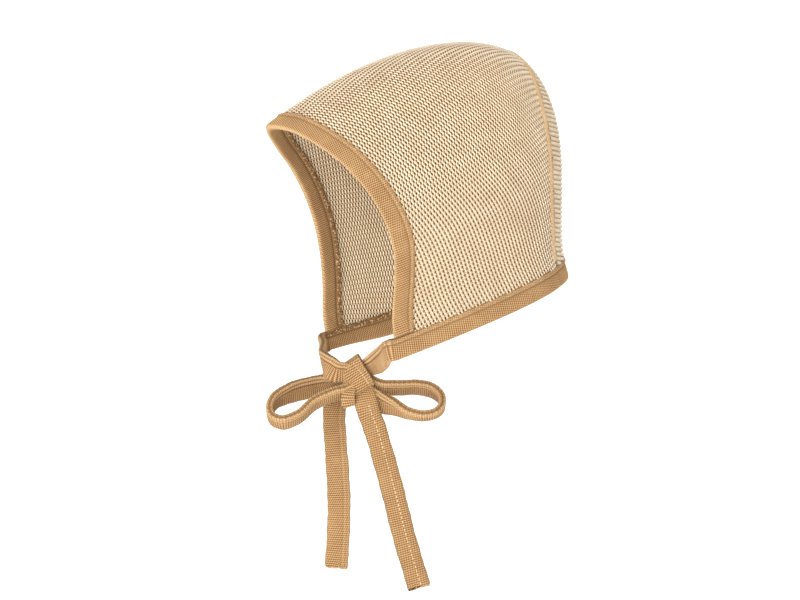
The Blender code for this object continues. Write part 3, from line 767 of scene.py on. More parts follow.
def ground_wool(name, tan, pit_shade, grain, spots):
    """The ground under the stitches: tan yarn with painted shade in the pits beside the stitches, and the
    pale grains of the tan rows between them with painted shade in their pits. The lattice is read two rows at
    a time, because every second row is shifted by half a stitch."""
    material, tree, shader, place, fibres = wool_material(name, 0.1)
    factor = maths(tree, "MULTIPLY_ADD", fibres.outputs["Shade"], 2.0, -0.6, clamp=True)
    colour = blended(tree, factor, tan, tuple(0.75 * c for c in tan))
    pair = tree.nodes.new("ShaderNodeVectorMath")
    pair.operation = "MULTIPLY"
    pair.inputs[1].default_value = (1.0, 0.5, 1.0)
    tree.links.new(place.outputs["UV"], pair.inputs[0])
    staggered = [(x + shift, y / 2 + shift, *rest) for x, y, *rest in spots for shift in (0.0, 0.5)]
    # Dark spots are painted shade in the pits between the stitches; pale spots are the grains' own colour.
    for across, up, wide, tall, slant, strength, pale in staggered:
        mask = placed(
            tree, LATTICE_SPOTS, Lattice=pair.outputs[0], Across=across, Up=up,
            Width=wide, Height=tall / 2, Slant=slant * 2,
        )
        darkness = maths(tree, "MULTIPLY", mask.outputs["Mask"], strength, clamp=True)
        colour = blended(tree, darkness, colour, grain if pale else pit_shade)
    tree.links.new(colour, shader.inputs["Base Color"])
    return material


def ribbed_wool(name, light, pale, groove_shade_and_speck, deep):
    """Ribbed caramel wool. Across the ribs it has painted shade between them and at the ends of each rib's
    small stitches; the piece's zones add painted shade in seams and grooves, painted highlight on raised sewn
    edges and folds, and mottling where it is overlocked."""
    material, tree, shader, place, fibres = wool_material(name, 0.05)
    split = tree.nodes.new("ShaderNodeSeparateXYZ")
    tree.links.new(place.outputs["UV"], split.inputs[0])
    zones = tree.nodes.new("ShaderNodeAttribute")
    zones.attribute_name = "zones"
    zone = tree.nodes.new("ShaderNodeSeparateXYZ")
    tree.links.new(zones.outputs["Vector"], zone.inputs[0])
    # Painted shade between the ribs and in the small gaps at the ends of each rib's stitches, blended towards
    # the fourth colour.
    wave = maths(tree, "COSINE", maths(tree, "MULTIPLY", split.outputs["X"], 2 * math.pi))
    between = maths(tree, "POWER", maths(tree, "MULTIPLY_ADD", wave, -0.5, 0.5), 1.3)
    stitch = placed(
        tree, LATTICE_SPOTS, Lattice=place.outputs["UV"], Across=0.5, Up=0.0,
        Width=0.6, Height=0.42,
    )
    knots = maths(tree, "MULTIPLY_ADD", stitch.outputs["Mask"], 1.0, maths(tree, "MULTIPLY", between, 0.5))
    uneven = maths(tree, "MULTIPLY_ADD", fibres.outputs["Shade"], 2.4, -0.25)
    ribs = maths(tree, "MULTIPLY", maths(tree, "MULTIPLY", knots, uneven), zone.outputs["X"], clamp=True)
    colour = blended(tree, ribs, light, groove_shade_and_speck)
    # Painted highlight on raised sewn edges, ridges and folds, where the zones' second value is below 0.
    edge_highlight = maths(tree, "MULTIPLY", zone.outputs["Y"], -0.7, clamp=True)
    colour = blended(tree, edge_highlight, colour, pale)
    threads = noise(tree, place.outputs["Object"], 1100.0, 1.0)
    specks = maths(tree, "MULTIPLY_ADD", threads, 6.0, -3.2, clamp=True)
    mottled = blended(tree, specks, groove_shade_and_speck, pale)
    colour = blended(tree, maths(tree, "MULTIPLY", zone.outputs["Z"], 0.9, clamp=True), colour, mottled)
    # Painted shade deep in seams and grooves, where the zones' second value is above 0.
    seam_shade = maths(tree, "MULTIPLY", zone.outputs["Y"], 0.9, clamp=True)
    colour = blended(tree, seam_shade, colour, deep)
    tree.links.new(colour, shader.inputs["Base Color"])
    return material


CREAM_YARN = plain_wool("cream yarn", (0.89, 0.80, 0.645), (0.59, 0.445, 0.29))
# Painted light: the same cream yarn as outside, painted brighter for the stitches inside the bonnet, where
# shade falls.
BRIGHTENED_INNER_CREAM_YARN = plain_wool("inner cream yarn painted brighter", (1.0, 0.93, 0.76), (0.80, 0.64, 0.43))
TAN_YARN = plain_wool("tan yarn", (0.66, 0.47, 0.27), (0.42, 0.26, 0.12))
CARAMEL_YARN = plain_wool("caramel yarn", (0.66, 0.43, 0.22), (0.45, 0.25, 0.11))
PALE_THREAD = plain_wool("pale thread", (0.85, 0.66, 0.42), (0.66, 0.45, 0.24))
# Spots on the knit's ground: the dark ones are painted shade in the pits between the stitches, the pale ones
# are pale grains of the tan rows.
PIT_SHADE_AND_GRAIN_SPOTS = (
    # across, up, width, height, slant, strength, pale
    (-0.27, 0.02, 0.32, 0.33, 0.25, 1.9, 0),
    (0.60, 0.5, 0.36, 0.19, 0.5, 1.6, 1),
    (0.20, 0.5, 0.26, 0.19, 0.5, 1.8, 0),
)
# Its third colour is painted shade for the pits between the stitches.
TAN_GROUND = ground_wool(
    "tan ground", (0.60, 0.41, 0.23), (0.09, 0.042, 0.016), (0.80, 0.63, 0.42), PIT_SHADE_AND_GRAIN_SPOTS
)
# Colours: the ribbed yarn; painted highlight for sewn edges, which also gives the pale overlock specks;
# painted shade between the ribs, which also gives the dark overlock specks; and painted shade deep in seams.
CARAMEL_RIB = ribbed_wool(
    "caramel rib", (0.54, 0.335, 0.158), (0.70, 0.485, 0.26), (0.14, 0.064, 0.021), (0.09, 0.038, 0.012)
)

# Knitted panels


def run_table():
    """For evenly spaced u and evenly spaced runs from the front edge, the v of that run, and the runs
    at evenly spaced v."""
    u, v = np.linspace(-TABLE_REACH, TABLE_REACH, 205), np.linspace(0, 1, 161)
    uu, vv = np.meshgrid(u, v, indexing="ij")
    run = run_length(np.swapaxes(main_surface(uu, vv), 0, 1)).T
    steps = np.linspace(0, LONGEST_RUN, 321)
    table = np.stack([np.interp(steps, row, v, right=2.0) for row in run])
    return table, run


RUN_TO_V, V_TO_RUN = run_table()


def read_table(table, u, share):
    """A table's value between its rows, which span u, and its columns, in proportion to how near
    each of the four values round the place lies."""
    a = np.clip((u + TABLE_REACH) / (2 * TABLE_REACH), 0, 1) * (table.shape[0] - 1)
    b = np.clip(share, 0, 1) * (table.shape[1] - 1)
    i, j = np.minimum(a.astype(int), table.shape[0] - 2), np.minimum(b.astype(int), table.shape[1] - 2)
    s, t = a - i, b - j
    low = table[i, j] * (1 - t) + table[i, j + 1] * t
    high = table[i + 1, j] * (1 - t) + table[i + 1, j + 1] * t
    return low * (1 - s) + high * s


def main_lattice(u, v):
    """Stitch and row numbers at a place: stitches count the run from the front edge, and rows count
    the way across, slanting down towards the front."""
    run = read_table(V_TO_RUN, u, v)
    return np.stack([run / STITCH_PITCH, (u * HALF_ARC + ROW_SLANT * run) / ROW_PITCH], axis=-1)


def main_limits(v):
    """The largest u that the knit reaches at v, just under the neck band."""
    return 1 - hem_share(v, BAND_WIDTH * KNIT_START)


def main_knit():
    """The ground of the main panel: the panel's surface, sunk a little, with a wall."""
    share, back = np.meshgrid(np.linspace(-1, 1, 181), np.linspace(0, 1, 71), indexing="ij")
    v = back.copy()
    for _ in range(2):
        u = share * main_limits(v)
        first = front_share(u) * KNIT_START
        v = first + back * (1 - first)
    point, normal = with_normals(main_surface, u, v, 1)
    outer, inner = point - normal * SKIN_DEPTH, point - normal * (WALL - SKIN_DEPTH)
    return shell("main_knit", outer, inner, main_lattice(u, v), TAN_GROUND)


def main_stitch_places():
    """Every lattice place of the main panel, as u and v, that the bands leave free. The rows are laid
    out past the neck edge, because they slant, and every second one is shifted by half a stitch."""
    rows = np.arange(-int(HALF_ARC / ROW_PITCH) - 2, int(HALF_ARC * 1.35 / ROW_PITCH))
    stitches = np.arange(1, int(0.15 / STITCH_PITCH))
    row, stitch = np.meshgrid(rows, stitches, indexing="ij")
    run = (stitch + 0.5 * (row % 2)).ravel() * STITCH_PITCH
    u = (row.ravel() * ROW_PITCH - ROW_SLANT * run) / HALF_ARC
    keep = np.abs(u) < 1.0
    u, run = u[keep], run[keep]
    v = read_table(RUN_TO_V, u, run / LONGEST_RUN)
    keep = v < 0.995
    u, v = u[keep], v[keep]
    keep = (np.abs(u) < main_limits(v) - 0.001) & (v > front_share(u) * 1.02)
    return u[keep], v[keep]


def stitch_frames(surface, a, b, along, facing):
    """Places and frames of stitches on a surface: along the row, across it, and out of the cloth."""
    point, normal = with_normals(surface, a, b, facing)
    step_a, step_b = along[0] * SURFACE_STEP, along[1] * SURFACE_STEP
    ahead, behind = surface(a + step_a, b + step_b), surface(a - step_a, b - step_b)
    forward = unit(ahead - behind)
    forward = unit(forward - (forward * normal).sum(-1, keepdims=True) * normal)
    return point, np.stack([forward, np.cross(normal, forward), normal], axis=1)


def ring_faces(rings):
    """Faces of a small body made of rings of four points, with a face over each end."""
    i, j = (k.ravel() for k in np.meshgrid(np.arange(rings - 1), np.arange(4), indexing="ij"))
    k = (j + 1) % 4
    faces = np.stack([i, i, i + 1, i + 1], axis=1) * 4 + np.stack([j, k, k, j], axis=1)
    last = (rings - 1) * 4
    return np.concatenate([faces, [(3, 2, 1, 0), (last, last + 1, last + 2, last + 3)]])


def crescent(bulge, half, thick, high, sink, rings):
    """A curved grain: a half ring seen from outside, thick in its middle and tapering to its ends
    as a power of the cosine of its turn, as rings of four points, closed at both ends. Columns: along
    the row, across it, outwards."""
    angle = np.radians(np.linspace(-76, 76, rings))
    taper = np.maximum(np.cos(angle * 0.98), 0.02) ** 0.7
    level = np.zeros(rings)
    centre = np.stack([bulge * (np.cos(angle) - 0.5), half * np.sin(angle), level], axis=1)
    away = np.stack([np.cos(angle), np.sin(angle), level], axis=1)
    out = np.array([0.0, 0.0, 1.0])
    ring = []
    for side, rise in ((1, 0), (0, 1), (-1, 0), (0, -1)):
        ring.append(centre + away * (side * thick * taper)[:, None] + out * (rise * high * taper)[:, None])
    points = np.stack(ring, axis=1) + out * sink
    return points.reshape(-1, 3), ring_faces(rings)


def stitch_layers(name, grain, place, frames):
    """Two layers of stitches: the cream ones on the outside of the wall, and those on its inside,
    which face inwards and wear a copy of the cream yarn painted brighter, as painted light for the shade
    inside the bonnet."""
    outer = many(f"{name}_stitches", *crescent(*grain), place, frames, CREAM_YARN, "two_tone_knit")
    under = place - frames[:, 2] * (WALL - INNER_LAYER)
    inward = frames * np.array([1.0, -1.0, -1.0])[None, :, None]
    grains = crescent(*INNER_GRAIN)
    inner = many(f"{name}_inner_stitches", *grains, under, inward, BRIGHTENED_INNER_CREAM_YARN, "two_tone_knit")
    return [outer, inner]


def main_stitches():
    """The cream stitches of the main panel, left half and right half."""
    u, v = main_stitch_places()
    slant = np.stack([-ROW_SLANT * PANEL_RUN / HALF_ARC * np.ones_like(u), np.ones_like(u)])
    place, frames = stitch_frames(main_surface, u, v, slant, 1)
    left = stitch_layers("left", MAIN_GRAIN, place[u >= 0], frames[u >= 0])
    return left + stitch_layers("right", MAIN_GRAIN, place[u < 0], frames[u < 0])


def middle_run():
    """Runs up the middle of the round back, and the heights there."""
    z = np.linspace(-NAPE_DROP - 0.012, -0.0002, 400)
    points = np.stack([np.zeros_like(z), back_wall(0 * z, z, -NAPE_DROP), z], axis=-1)
    return run_length(points), z


MIDDLE_RUN, MIDDLE_HEIGHT = middle_run()


def round_back(x, z):
    """The place on the round back at x and height z."""
    return np.stack([x, back_wall(x, z, -hem_drop(x / ARCH_HALF_WIDTH)), z], axis=-1)


def back_knit():
    """The ground of the back panel, with its rows level."""
    p, q = np.meshgrid(np.linspace(1, -1, 61), np.linspace(0, 1, 61), indexing="ij")
    low = BAND_WIDTH * KNIT_START / (hem_drop(p) - ARCH_SPRING_DROP) - 1
    q = low + q * (1 - low)
    point, normal = with_normals(back_surface, p, q, -1)
    outer, inner = point - normal * SKIN_DEPTH, point - normal * (WALL - SKIN_DEPTH)
    stitch = np.arcsin(np.clip(point[..., 0] / HALF_WIDTH, -1, 1)) * ROUND_BACK / STITCH_PITCH
    row = np.interp(point[..., 2], MIDDLE_HEIGHT, MIDDLE_RUN) / ROW_PITCH
    uv = np.stack([stitch, row], axis=-1)
    return shell("back_knit", outer, inner, uv, TAN_GROUND)


def back_stitches():
    """The cream stitches of the back panel, wherever the arch and the neck band leave room: level
    rows at even runs up its middle, each at even turns round the back, every second row shifted by
    half a stitch."""
    rows = np.arange(1, int(MIDDLE_RUN[-1] / ROW_PITCH))
    stitches = np.arange(-BACK_STITCHES, BACK_STITCHES + 1)
    row, stitch = (k.ravel() for k in np.meshgrid(rows, stitches, indexing="ij"))
    z = np.interp(row * ROW_PITCH, MIDDLE_RUN, MIDDLE_HEIGHT)
    x = HALF_WIDTH * np.sin((stitch + 0.5 * (row % 2)) * STITCH_PITCH / ROUND_BACK)
    rise = np.clip((z + ARCH_SPRING_DROP) / ARCH_RISE, 0, None)
    low = np.clip(-(z + ARCH_SPRING_DROP) / (SEAM_FOOT_DROP - ARCH_SPRING_DROP), 0, 1)
    arch = (np.abs(x) / (arch_half(low) - 0.0012)) ** ARCH_POWER + (rise * 1.03) ** ARCH_POWER
    above = z + hem_drop(x / ARCH_HALF_WIDTH) - BAND_WIDTH
    keep = (arch < 1) & (above > -0.0010)
    x, z = x[keep], z[keep]
    across = round_back(x + BACK_STEP, z) - round_back(x - BACK_STEP, z)
    upward = round_back(x, z + BACK_STEP) - round_back(x, z - BACK_STEP)
    normal = unit(np.cross(upward, across))
    forward = unit(-across)
    frames = np.stack([forward, np.cross(normal, forward), normal], axis=1)
    return stitch_layers("back", BACK_GRAIN, round_back(x, z), frames)


# Ribbed strips


def rib_wave(run):
    """Height of the ribs along a run, from -1 between two ribs to 1 on a rib."""
    return np.cos(2 * math.pi * run / RIB_PITCH)


def loop_wave(run, across):
    """Height of the overlocking threads' slanting loops, from -1 to 1."""
    slow = np.sin(2 * math.pi * run / OVERLOCK_PITCH + 9.0 * across)
    quick = np.sin(2 * math.pi * run / OVERLOCK_SECOND_PITCH - 14.0 * across + 2.0 * slow)
    return 0.6 * slow + 0.4 * quick


def band_form():
    """The band's section: places along its width, heights, way out, ribbing and zones."""
    # The sixth column carries painted shade (positive) and painted highlight (negative).
    along, proud, wall, ridge, rib, shade_and_highlight, lock = np.array(BAND_SKIN).T
    out = proud * BAND_PROUD + wall * WALL + ridge * RIDGE_HEIGHT
    way = np.where(wall < -0.6, -1.0, 1.0)
    return along, out, way, rib, shade_and_highlight, lock


def strip_form(cords):
    """The strip's section, with its sewn edges standing out by a share from 0, plain, to 1: widths,
    thicknesses, way out, ribbing, and painted shade in its grooves and painted highlight on its cords and
    fold."""
    rows = np.array(STRIP_SKIN)
    mirrored = rows[-2:0:-1] * [1.0, -1.0, 1.0, 1.0]
    wide, thick, rib, shade_and_highlight = np.concatenate([rows[1:], mirrored, rows[:1]]).T
    way = np.where(thick < 0, -1.0, 1.0)
    sewn = np.abs(wide - SEWN_MIDDLE) < SEWN_REACH
    thick = np.where(sewn, PLAIN_HEIGHT * way * (1 - cords) + thick * cords, thick)
    rib = np.where(sewn, 1 - cords + rib * cords, rib)
    shade_and_highlight = np.where(sewn, shade_and_highlight * cords, shade_and_highlight)
    return wide, thick, way, rib, shade_and_highlight


def ribbed_tube(name, rings, ways, run, across, rib, shade_and_highlight, lock):
    """A ribbed strip from its smooth rings: its skin is raised along its own way out by the ribs and
    by the overlocking."""
    wave = rib_wave(run)[:, None] * rib * RIB_HEIGHT
    loops = loop_wave(run[:, None], across) * lock * OVERLOCK_HEIGHT
    rings = rings + ways * (wave + loops)[..., None]
    chain = across / CHAIN_PITCH + 0.5 * run[:, None] / RIB_PITCH
    uv = np.stack(np.broadcast_arrays((run / RIB_PITCH)[:, None], chain), axis=-1)
    # The zones carry ribbing, painted shade and highlight, and overlocking.
    zones = np.stack(np.broadcast_arrays(rib, shade_and_highlight, lock), axis=-1)
    zones = np.broadcast_to(zones, rings.shape)
    return tube(name, rings, uv, CARAMEL_RIB, zones)


def face_band():
    """The band round the face, from cheek to cheek."""
    along, out, way, rib, shade_and_highlight, lock = band_form()
    share, place = np.meshgrid(np.linspace(-1, 1, BAND_STATIONS), along, indexing="ij")
    v = place * front_share(share)
    u = share * (1 - hem_share(v, BAND_WIDTH * FACE_BAND_FOOT))
    point, normal = with_normals(main_surface, u, v, 1)
    run = run_length(point.mean(axis=1))
    rings = point + normal * out[None, :, None]
    across = np.broadcast_to(along * BAND_WIDTH, rings.shape[:2])
    piece = ribbed_tube("face_rib", rings, normal * way[None, :, None], run, across, rib, shade_and_highlight, lock)
    return piece


def bow_axes():
    """The bow's axes as rows: across, forward, up."""
    turn = math.radians(BOW_TURN_DEG)
    across = (math.cos(turn), math.sin(turn), 0.0)
    forward = (math.sin(turn), -math.cos(turn), 0.0)
    return np.array([across, forward, (0.0, 0.0, 1.0)])


def knot_place():
    """The middle of the knot."""
    return np.array([0.0, KNOT_BEHIND_FACE - FRONT_REACH, -KNOT_DROP])


def route_in_world(route):
    """A route given in the bow's axes in millimetres, with its edge directions, in metres."""
    rows = np.array(route, float)
    places = knot_place() + rows[:, :3] / 1000 @ bow_axes()
    return np.concatenate([places, rows[:, 3:] @ bow_axes()], axis=1)


def squeeze(count, length, both):
    """The strip's width at each station as a share of its full width, narrower towards the knot at
    its last end, or at both ends."""
    place = np.linspace(0.0, length, count)
    from_knot = np.minimum(place, length - place) if both else length - place
    near = np.clip(1 - from_knot / SQUEEZE_LENGTH, 0, 1)
    return 1 - (1 - KNOT_SQUEEZE) * near**2


def tie_route(side, route):
    """The tie's route, from the end of the neck band (side 1 left, -1 right) to the knot."""
    point, normal = neck_ring(np.array([0.0, BAND_WIDTH]), 64)
    row = 0 if side > 0 else -1
    middle = point.mean(axis=1) - normal.mean(axis=1) * WALL / 2
    edge = unit(point[row, 1] - point[row, 0])
    leaving = unit(np.cross(normal[row].mean(axis=0), edge)) * side
    level = middle[row] - edge * (STRIP_WIDTH - BAND_WIDTH) / 2
    start = np.array([level + leaving * run for run in (JOINT_RUN, TIE_TURN)])
    head = np.concatenate([start, np.repeat(edge[None], 2, 0)], axis=1)
    return np.concatenate([head, route_in_world(route)])


def loop_route(table, reach, side):
    """A loop's middle line from its table, the strip's upper edge leaning towards the viewer."""
    rows = np.array(table)
    lean = np.radians(LOOP_LEAN_DEG) * rows[:, 3]
    edges = np.stack([np.zeros_like(lean), np.sin(lean), np.cos(lean)], axis=1)
    places = rows[:, :3] * [reach * side, LOOP_DROP, LOOP_DROP] * 1000
    return route_in_world(np.concatenate([places, edges], axis=1))


def tail_route(table, length):
    """A tail's route from its end to the knot; its width lies across the way that it hangs."""
    rows = np.array(table)[::-1]
    places = rows * [1.0, 1.0, -length * 1000]
    along = unit(np.gradient(places, axis=0))
    edges = unit(np.cross(along, [0.0, 1.0, 0.0]))
    return route_in_world(np.concatenate([places, edges], axis=1))


def carried(route):
    """Stations along a route, a few to each rib: middle, edge direction, face direction, run. The
    edge direction is kept square to the route, and the face direction square to both."""
    length = run_length(along_curve(route, 80)[:, :3])[-1]
    curve = along_curve(route, int(length / RIB_PITCH * STATIONS_A_RIB))
    centre = curve[:, :3]
    forward = unit(np.gradient(centre, axis=0))
    edge = curve[:, 3:6]
    edge = unit(edge - (edge * forward).sum(-1, keepdims=True) * forward)
    return centre, edge, np.cross(forward, edge), run_length(centre)


def uneven_width(run):
    """The soft strip's width along its run, as a share, a little wider and narrower: one long and one
    short sine."""
    return 1 + 0.018 * np.sin(run * 410.0) + 0.012 * np.sin(run * 1090.0 + 1.0)


def strip_piece(name, route, both=False, cords=1.0, turn=1, narrow=1.0, ragged=0.0):
    """A folded strip carried along a route. Turn -1 puts its sewn edges at its other side, and ragged
    is how unevenly it is cut at its first end."""
    centre, edge, face, run = carried(route)
    wide, thick, way, rib, shade_and_highlight = strip_form(cords)
    scale = squeeze(len(run), run[-1], both) * narrow * uneven_width(run)
    across = scale[:, None] * wide * STRIP_WIDTH
    out = thick * STRIP_THICKNESS
    rings = centre[:, None] + edge[:, None] * across[..., None] * turn
    rings = rings + face[:, None] * out[None, :, None]
    if ragged:
        cut = np.sin(wide * 31.0) * 0.5 + np.sin(wide * 73.0 + 1.0) * 0.5
        near = np.clip(1 - run / 0.003, 0, 1)[:, None] * cut * ragged
        rings = rings + unit(centre[0] - centre[2]) * near[..., None]
    ways = face[:, None] * way[None, :, None]
    piece = ribbed_tube(name, rings, ways, run, across, rib, shade_and_highlight, 0.0 * rib)
    return piece


def tie_stretch(side, route):
    """A tie from the neck band's end to the knot: its run, and at each station the rings, way out,
    place across, ribbing and zones. Over its first stretch the section changes smoothly from the
    band's to the strip's."""
    along, out, way, rib, shade_and_highlight, lock = band_form()
    wide, thick, _, strip_rib, strip_shade_and_highlight = strip_form(1.0)
    centre, edge, face, run = carried(tie_route(side, route))
    outward = -side * face
    change = np.clip(run / CHANGE_RUN, 0, 1)[:, None]
    change = change * change * (3 - 2 * change)
    band_wide = (along - 0.5) * BAND_WIDTH + (STRIP_WIDTH - BAND_WIDTH) / 2
    scale = squeeze(len(run), run[-1], False)[:, None]
    across = band_wide * (1 - change) + wide * STRIP_WIDTH * scale * change
    height = (out + WALL / 2) * (1 - change) + thick * STRIP_THICKNESS * change
    rings = centre[:, None] + edge[:, None] * across[..., None] + outward[:, None] * height[..., None]
    return run, [
        rings,
        outward[:, None] * way[None, :, None],
        across + BAND_WIDTH / 2,
        rib * (1 - change) + strip_rib * change,
        shade_and_highlight * (1 - change) + strip_shade_and_highlight * change,
        lock * (1 - change),
    ]


def neck_and_ties():
    """The strip round the neck, which runs on at both cheeks as the two ties: the left tie from the
    knot to the cheek, the band, and the right tie from the cheek to the knot."""
    along, out, way, *zones = band_form()
    point, normal = neck_ring(along * BAND_WIDTH, BAND_STATIONS)
    band_run = run_length(point.mean(axis=1))
    flat = [np.broadcast_to(row, point.shape[:2]) for row in (along * BAND_WIDTH, *zones)]
    band = [point + normal * out[None, :, None], normal * way[None, :, None], *flat]
    left_run, left = tie_stretch(1, LEFT_TIE_ROUTE)
    right_run, right = tie_stretch(-1, RIGHT_TIE_ROUTE)
    left_run = left_run[-1] - left_run[::-1]
    band_run = band_run + (left_run[-1] + JOINT_RUN)
    right_run = right_run + (band_run[-1] + JOINT_RUN)
    run = np.concatenate([left_run, band_run, right_run])
    rings, ways, across, rib, shade_and_highlight, lock = (
        np.concatenate([before[::-1], middle, after]) for before, middle, after in zip(left, band, right)
    )
    piece = ribbed_tube("neck_rib", rings, ways, run, across, rib, shade_and_highlight, lock)
    return piece


def wrap_axes():
    """The wrap's middle, and its directions: along its run in front, across its width, and forward.
    It leans in the plane that the bow faces with."""
    across, forward, up = bow_axes()
    lean = math.radians(KNOT_LEAN_DEG)
    long_way = math.sin(lean) * across + math.cos(lean) * up
    wide_way = math.cos(lean) * across - math.sin(lean) * up
    return knot_place() + np.array([0.0, 0.0, KNOT_RAISE]), long_way, wide_way, forward


def knot_wrap():
    """The wrap over the bow: one turn of the strip round the crossing, flat in front. Its run is a
    squared oval, with powers of the cosine and sine along the long and deep ways, drifting a little
    sideways, and its width lies square to that."""
    middle, long_way, wide_way, deep_way = wrap_axes()
    turn = np.linspace(0.5, 0.5 + 2 * math.pi, 400)
    far = (KNOT_LENGTH - STRIP_THICKNESS * WRAP_SET_IN) / 2
    deep = (KNOT_DEPTH - STRIP_THICKNESS * WRAP_SET_IN) / 2
    c, s = np.cos(turn), np.sin(turn)
    centre = (
        middle
        + (np.abs(c) ** WRAP_SQUARENESS * np.sign(c) * far)[:, None] * long_way
        + (np.abs(s) ** WRAP_SQUARENESS * np.sign(s) * deep)[:, None] * deep_way
        + (WRAP_DRIFT * c)[:, None] * wide_way
    )
    centre = along_curve(centre, int(run_length(centre)[-1] / RIB_PITCH * 5))
    forward = unit(np.gradient(centre, axis=0))
    edge = unit(wide_way - (forward @ wide_way)[:, None] * forward)
    face = np.cross(forward, edge)
    wide, thick, way, rib, shade_and_highlight = strip_form(0.3)
    across = np.broadcast_to(wide * KNOT_WIDTH * 0.98, (len(centre), len(wide)))
    rings = centre[:, None] + edge[:, None] * across[..., None]
    rings = rings + face[:, None] * (thick * STRIP_THICKNESS * WRAP_PRESSED)[None, :, None]
    ways = face[:, None] * way[None, :, None]
    return ribbed_tube("knot_rib", rings, ways, run_length(centre), across, rib, shade_and_highlight, 0.0 * rib)


def bead(half_long, half_wide, half_high):
    """A small rounded body, as four rings of four points closed at both ends."""
    angle = np.radians(np.array([-72, -28, 28, 72]))
    turn = (np.arange(4) + 0.5) * math.pi / 2
    along = np.repeat(np.sin(angle)[:, None] * half_long, 4, axis=1)
    wide = np.cos(angle)[:, None] * np.cos(turn) * half_wide
    high = np.cos(angle)[:, None] * np.sin(turn) * half_high
    return np.stack([along, wide, high], axis=-1).reshape(-1, 3), ring_faces(4)


def tail_stitches():
    """The line of pale stitches down the back tail, on both of its faces."""
    centre, edge, face, run = carried(tail_route(BACK_TAIL, BACK_TAIL_LENGTH))
    at = np.searchsorted(run, np.arange(0.0015, run[-1] - 0.014, TAIL_STITCH_PITCH))
    forward = unit(np.gradient(centre, axis=0))
    raised = STRIP_THICKNESS * 0.55
    places, frames = [], []
    for sign in (1, -1):
        places.append(centre[at] - edge[at] * STRIP_WIDTH * 0.10 + face[at] * raised * sign)
        frames.append(np.stack([forward[at], edge[at] * sign, face[at] * sign], axis=1))
    form = bead(0.00052, 0.00036, 0.00030)
    many("tail_stitches", *form, np.concatenate(places), np.concatenate(frames), PALE_THREAD, "caramel_rib")


def wrap_stitches():
    """The pale thread that shows along the front of the wrap, near its right side."""
    middle, long_way, wide_way, deep_way = wrap_axes()
    share = np.linspace(-0.34, 0.34, 9)[:, None]
    front = middle + deep_way * (KNOT_DEPTH / 2 + STRIP_THICKNESS * 0.02)
    places = front + long_way * KNOT_LENGTH * share + wide_way * KNOT_WIDTH * 0.2
    frames = np.repeat(np.stack([long_way, wide_way, deep_way])[None], len(places), axis=0)
    form = bead(0.00050, 0.00026, 0.00030)
    return many("wrap_stitches", *form, places, frames, PALE_THREAD, "caramel_rib")


def frayed_ends():
    """Short threads standing out of the cut ends of both tails, each at its own place in the strip's
    section, with its own lean and length."""
    rng = np.random.default_rng(7)
    places, frames = [], []
    for table, length in ((FRONT_TAIL, FRONT_TAIL_LENGTH), (BACK_TAIL, BACK_TAIL_LENGTH)):
        centre, edge, face, _ = carried(tail_route(table, length))
        out = unit(centre[0] - centre[2])
        for _ in range(THREADS_AN_END):
            wide, deep = rng.uniform(-0.46, 0.46), rng.uniform(-0.35, 0.35)
            way = unit(out + edge[0] * rng.normal(0, 0.55) + face[0] * rng.normal(0, 0.45))
            side = unit(np.cross(way, face[0]))
            size = rng.uniform(0.6, 1.35)
            places.append(centre[0] + edge[0] * wide * STRIP_WIDTH + face[0] * deep * STRIP_THICKNESS)
            frames.append(np.stack([way * size, side, np.cross(way, side)]))
    form = bead(0.0011, 0.00017, 0.00017)
    many("frayed_ends", *form, np.array(places), np.array(frames), CARAMEL_YARN, "caramel_rib")


def back_seams():
    """The sewn line between the panels, a low cord over the seam outside and inside: a half-flat oval
    carried along the seam, swelling and narrowing with each stitch."""
    around = np.linspace(0, 2 * math.pi, 9)[:-1]
    made = []
    u = np.linspace(-SEAM_REACH, SEAM_REACH, 900)
    for name, way, size in SEAM_CORDS:
        point, normal = with_normals(main_surface, u, np.ones_like(u), 1)
        along = unit(np.gradient(point, axis=0))
        side = np.cross(normal, along)
        run = run_length(point)
        base = point - normal * (0.0 if way > 0 else WALL)
        wave = 1 + 0.16 * np.sin(2 * math.pi * run / SEAM_SWELL_PITCH)
        rings = (
            base[:, None]
            + side[:, None] * (np.cos(around)[None, :] * size * wave[:, None])[..., None]
            + normal[:, None] * (np.sin(around)[None, :] * size * 0.5 * wave[:, None])[..., None] * way
        )
        uv = np.stack(np.broadcast_arrays(run[:, None] / STITCH_PITCH, around[None, :] / 6.3), axis=-1)
        made.append(tube(name, rings, uv, TAN_YARN))
    return made


# Studio


def backdrop():
    """White paper that lies behind and below the bonnet and sweeps up far behind it: a smooth curve
    through the rows of SWEEP, drawn out sideways."""
    sweep = np.array(SWEEP)
    path = spline(np.arange(len(sweep), dtype=float), sweep, np.linspace(0, len(sweep) - 1, 60))
    across = np.array([-SWEEP_HALF_WIDTH, SWEEP_HALF_WIDTH])
    grid = (
        across[None, :, None] * VIEW_RIGHT
        - path[:, None, :1] * VIEW_BACK
        + path[:, None, 1:] * np.array([0.0, 0.0, 1.0])
    )
    faces = [(2 * i, 2 * i + 1, 2 * i + 3, 2 * i + 2) for i in range(len(path) - 1)]
    mesh = bpy.data.meshes.new("backdrop")
    mesh.from_pydata(grid.reshape(-1, 3).tolist(), [], faces)
    mesh.shade_smooth()
    paper = bpy.data.materials.new("white paper")
    paper.use_nodes = True
    shader = paper.node_tree.nodes["Principled BSDF"]
    shader.inputs["Base Color"].default_value = (0.95, 0.95, 0.95, 1.0)
    shader.inputs["Roughness"].default_value = 0.9
    shader.inputs["Emission Color"].default_value = (1.0, 1.0, 1.0, 1.0)
    shader.inputs["Emission Strength"].default_value = 0.50
    mesh.materials.append(paper)
    paper_sweep = bpy.data.objects.new("backdrop", mesh)
    bpy.context.scene.collection.objects.link(paper_sweep)


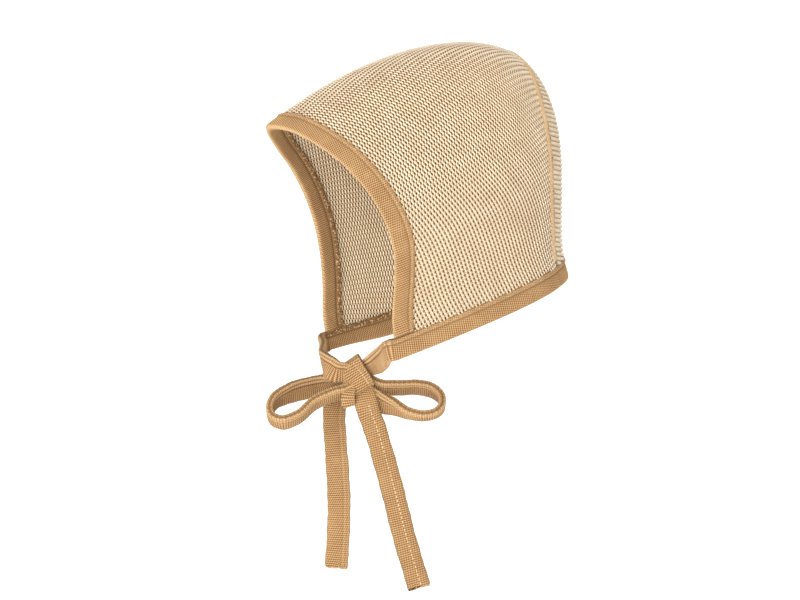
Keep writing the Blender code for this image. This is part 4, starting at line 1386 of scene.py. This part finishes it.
def studio():
    """The backdrop, soft lights all round, and the camera."""
    backdrop()
    world = bpy.data.worlds.new("studio")
    world.use_nodes = True
    world.node_tree.nodes["Background"].inputs["Color"].default_value = (1.0, 1.0, 1.0, 1.0)
    world.node_tree.nodes["Background"].inputs["Strength"].default_value = 0.38
    bpy.context.scene.world = world

    up = np.array([0.0, 0.0, 1.0])
    for name, back, right, high, power, size in LIGHTS:
        light = bpy.data.lights.new(name, "AREA")
        light.energy = power
        light.size = size
        lamp = bpy.data.objects.new(name, light)
        offset = VIEW_BACK * back + VIEW_RIGHT * right + up * high
        away = unit(offset)
        level = unit(np.cross(up + VIEW_RIGHT * 0.01, away))
        lamp.matrix_world = looking(LIGHT_AIM + offset, level, np.cross(away, level), away)
        bpy.context.scene.collection.objects.link(lamp)

    camera = bpy.data.objects.new("camera", bpy.data.cameras.new("camera"))
    camera.data.lens = 100.0
    camera.data.sensor_width = 36.0
    camera.data.clip_start = 0.05
    camera.matrix_world = looking(CAMERA_PLACE, VIEW_RIGHT, up, VIEW_BACK)
    bpy.context.scene.collection.objects.link(camera)
    bpy.context.scene.camera = camera
    bpy.context.scene.view_settings.view_transform = "Standard"


def looking(place, right, up, back):
    """A camera's or lamp's matrix from its place and axes."""
    rows = np.stack([right, up, back, place], axis=1)
    return Matrix([list(row) for row in rows] + [[0.0, 0.0, 0.0, 1.0]])


def dress():
    """Makes every piece, each in place of its plain solid."""
    main, back = main_knit(), back_knit()
    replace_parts(main, "main_panel")
    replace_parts(back, "back_panel")
    main_stitches()
    on_back = back_stitches() + back_seams()
    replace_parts(face_band(), "face_band")
    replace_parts(neck_and_ties(), "neck_band", "left_tie", "right_tie")
    front_loop = loop_route(FRONT_LOOP, FRONT_LOOP_REACH, -1)
    back_loop = loop_route(BACK_LOOP, BACK_LOOP_REACH, 1)
    front_tail = tail_route(FRONT_TAIL, FRONT_TAIL_LENGTH)
    back_tail = tail_route(BACK_TAIL, BACK_TAIL_LENGTH)
    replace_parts(strip_piece("front_loop_rib", front_loop, both=True), "front_loop")
    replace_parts(strip_piece("back_loop_rib", back_loop, both=True), "back_loop")
    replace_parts(strip_piece("front_tail_rib", front_tail, cords=0.35, turn=-1, ragged=0.0007), "front_tail")
    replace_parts(strip_piece("back_tail_rib", back_tail, cords=0.0, ragged=0.0007), "back_tail")
    tail_stitches()
    frayed_ends()
    wrap = knot_wrap()
    fold = strip_piece("knot_fold", route_in_world(KNOT_FOLD), cords=0.0, narrow=0.62)
    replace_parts(wrap, "bow_knot")
    wrap_stitches()


dress()
studio()
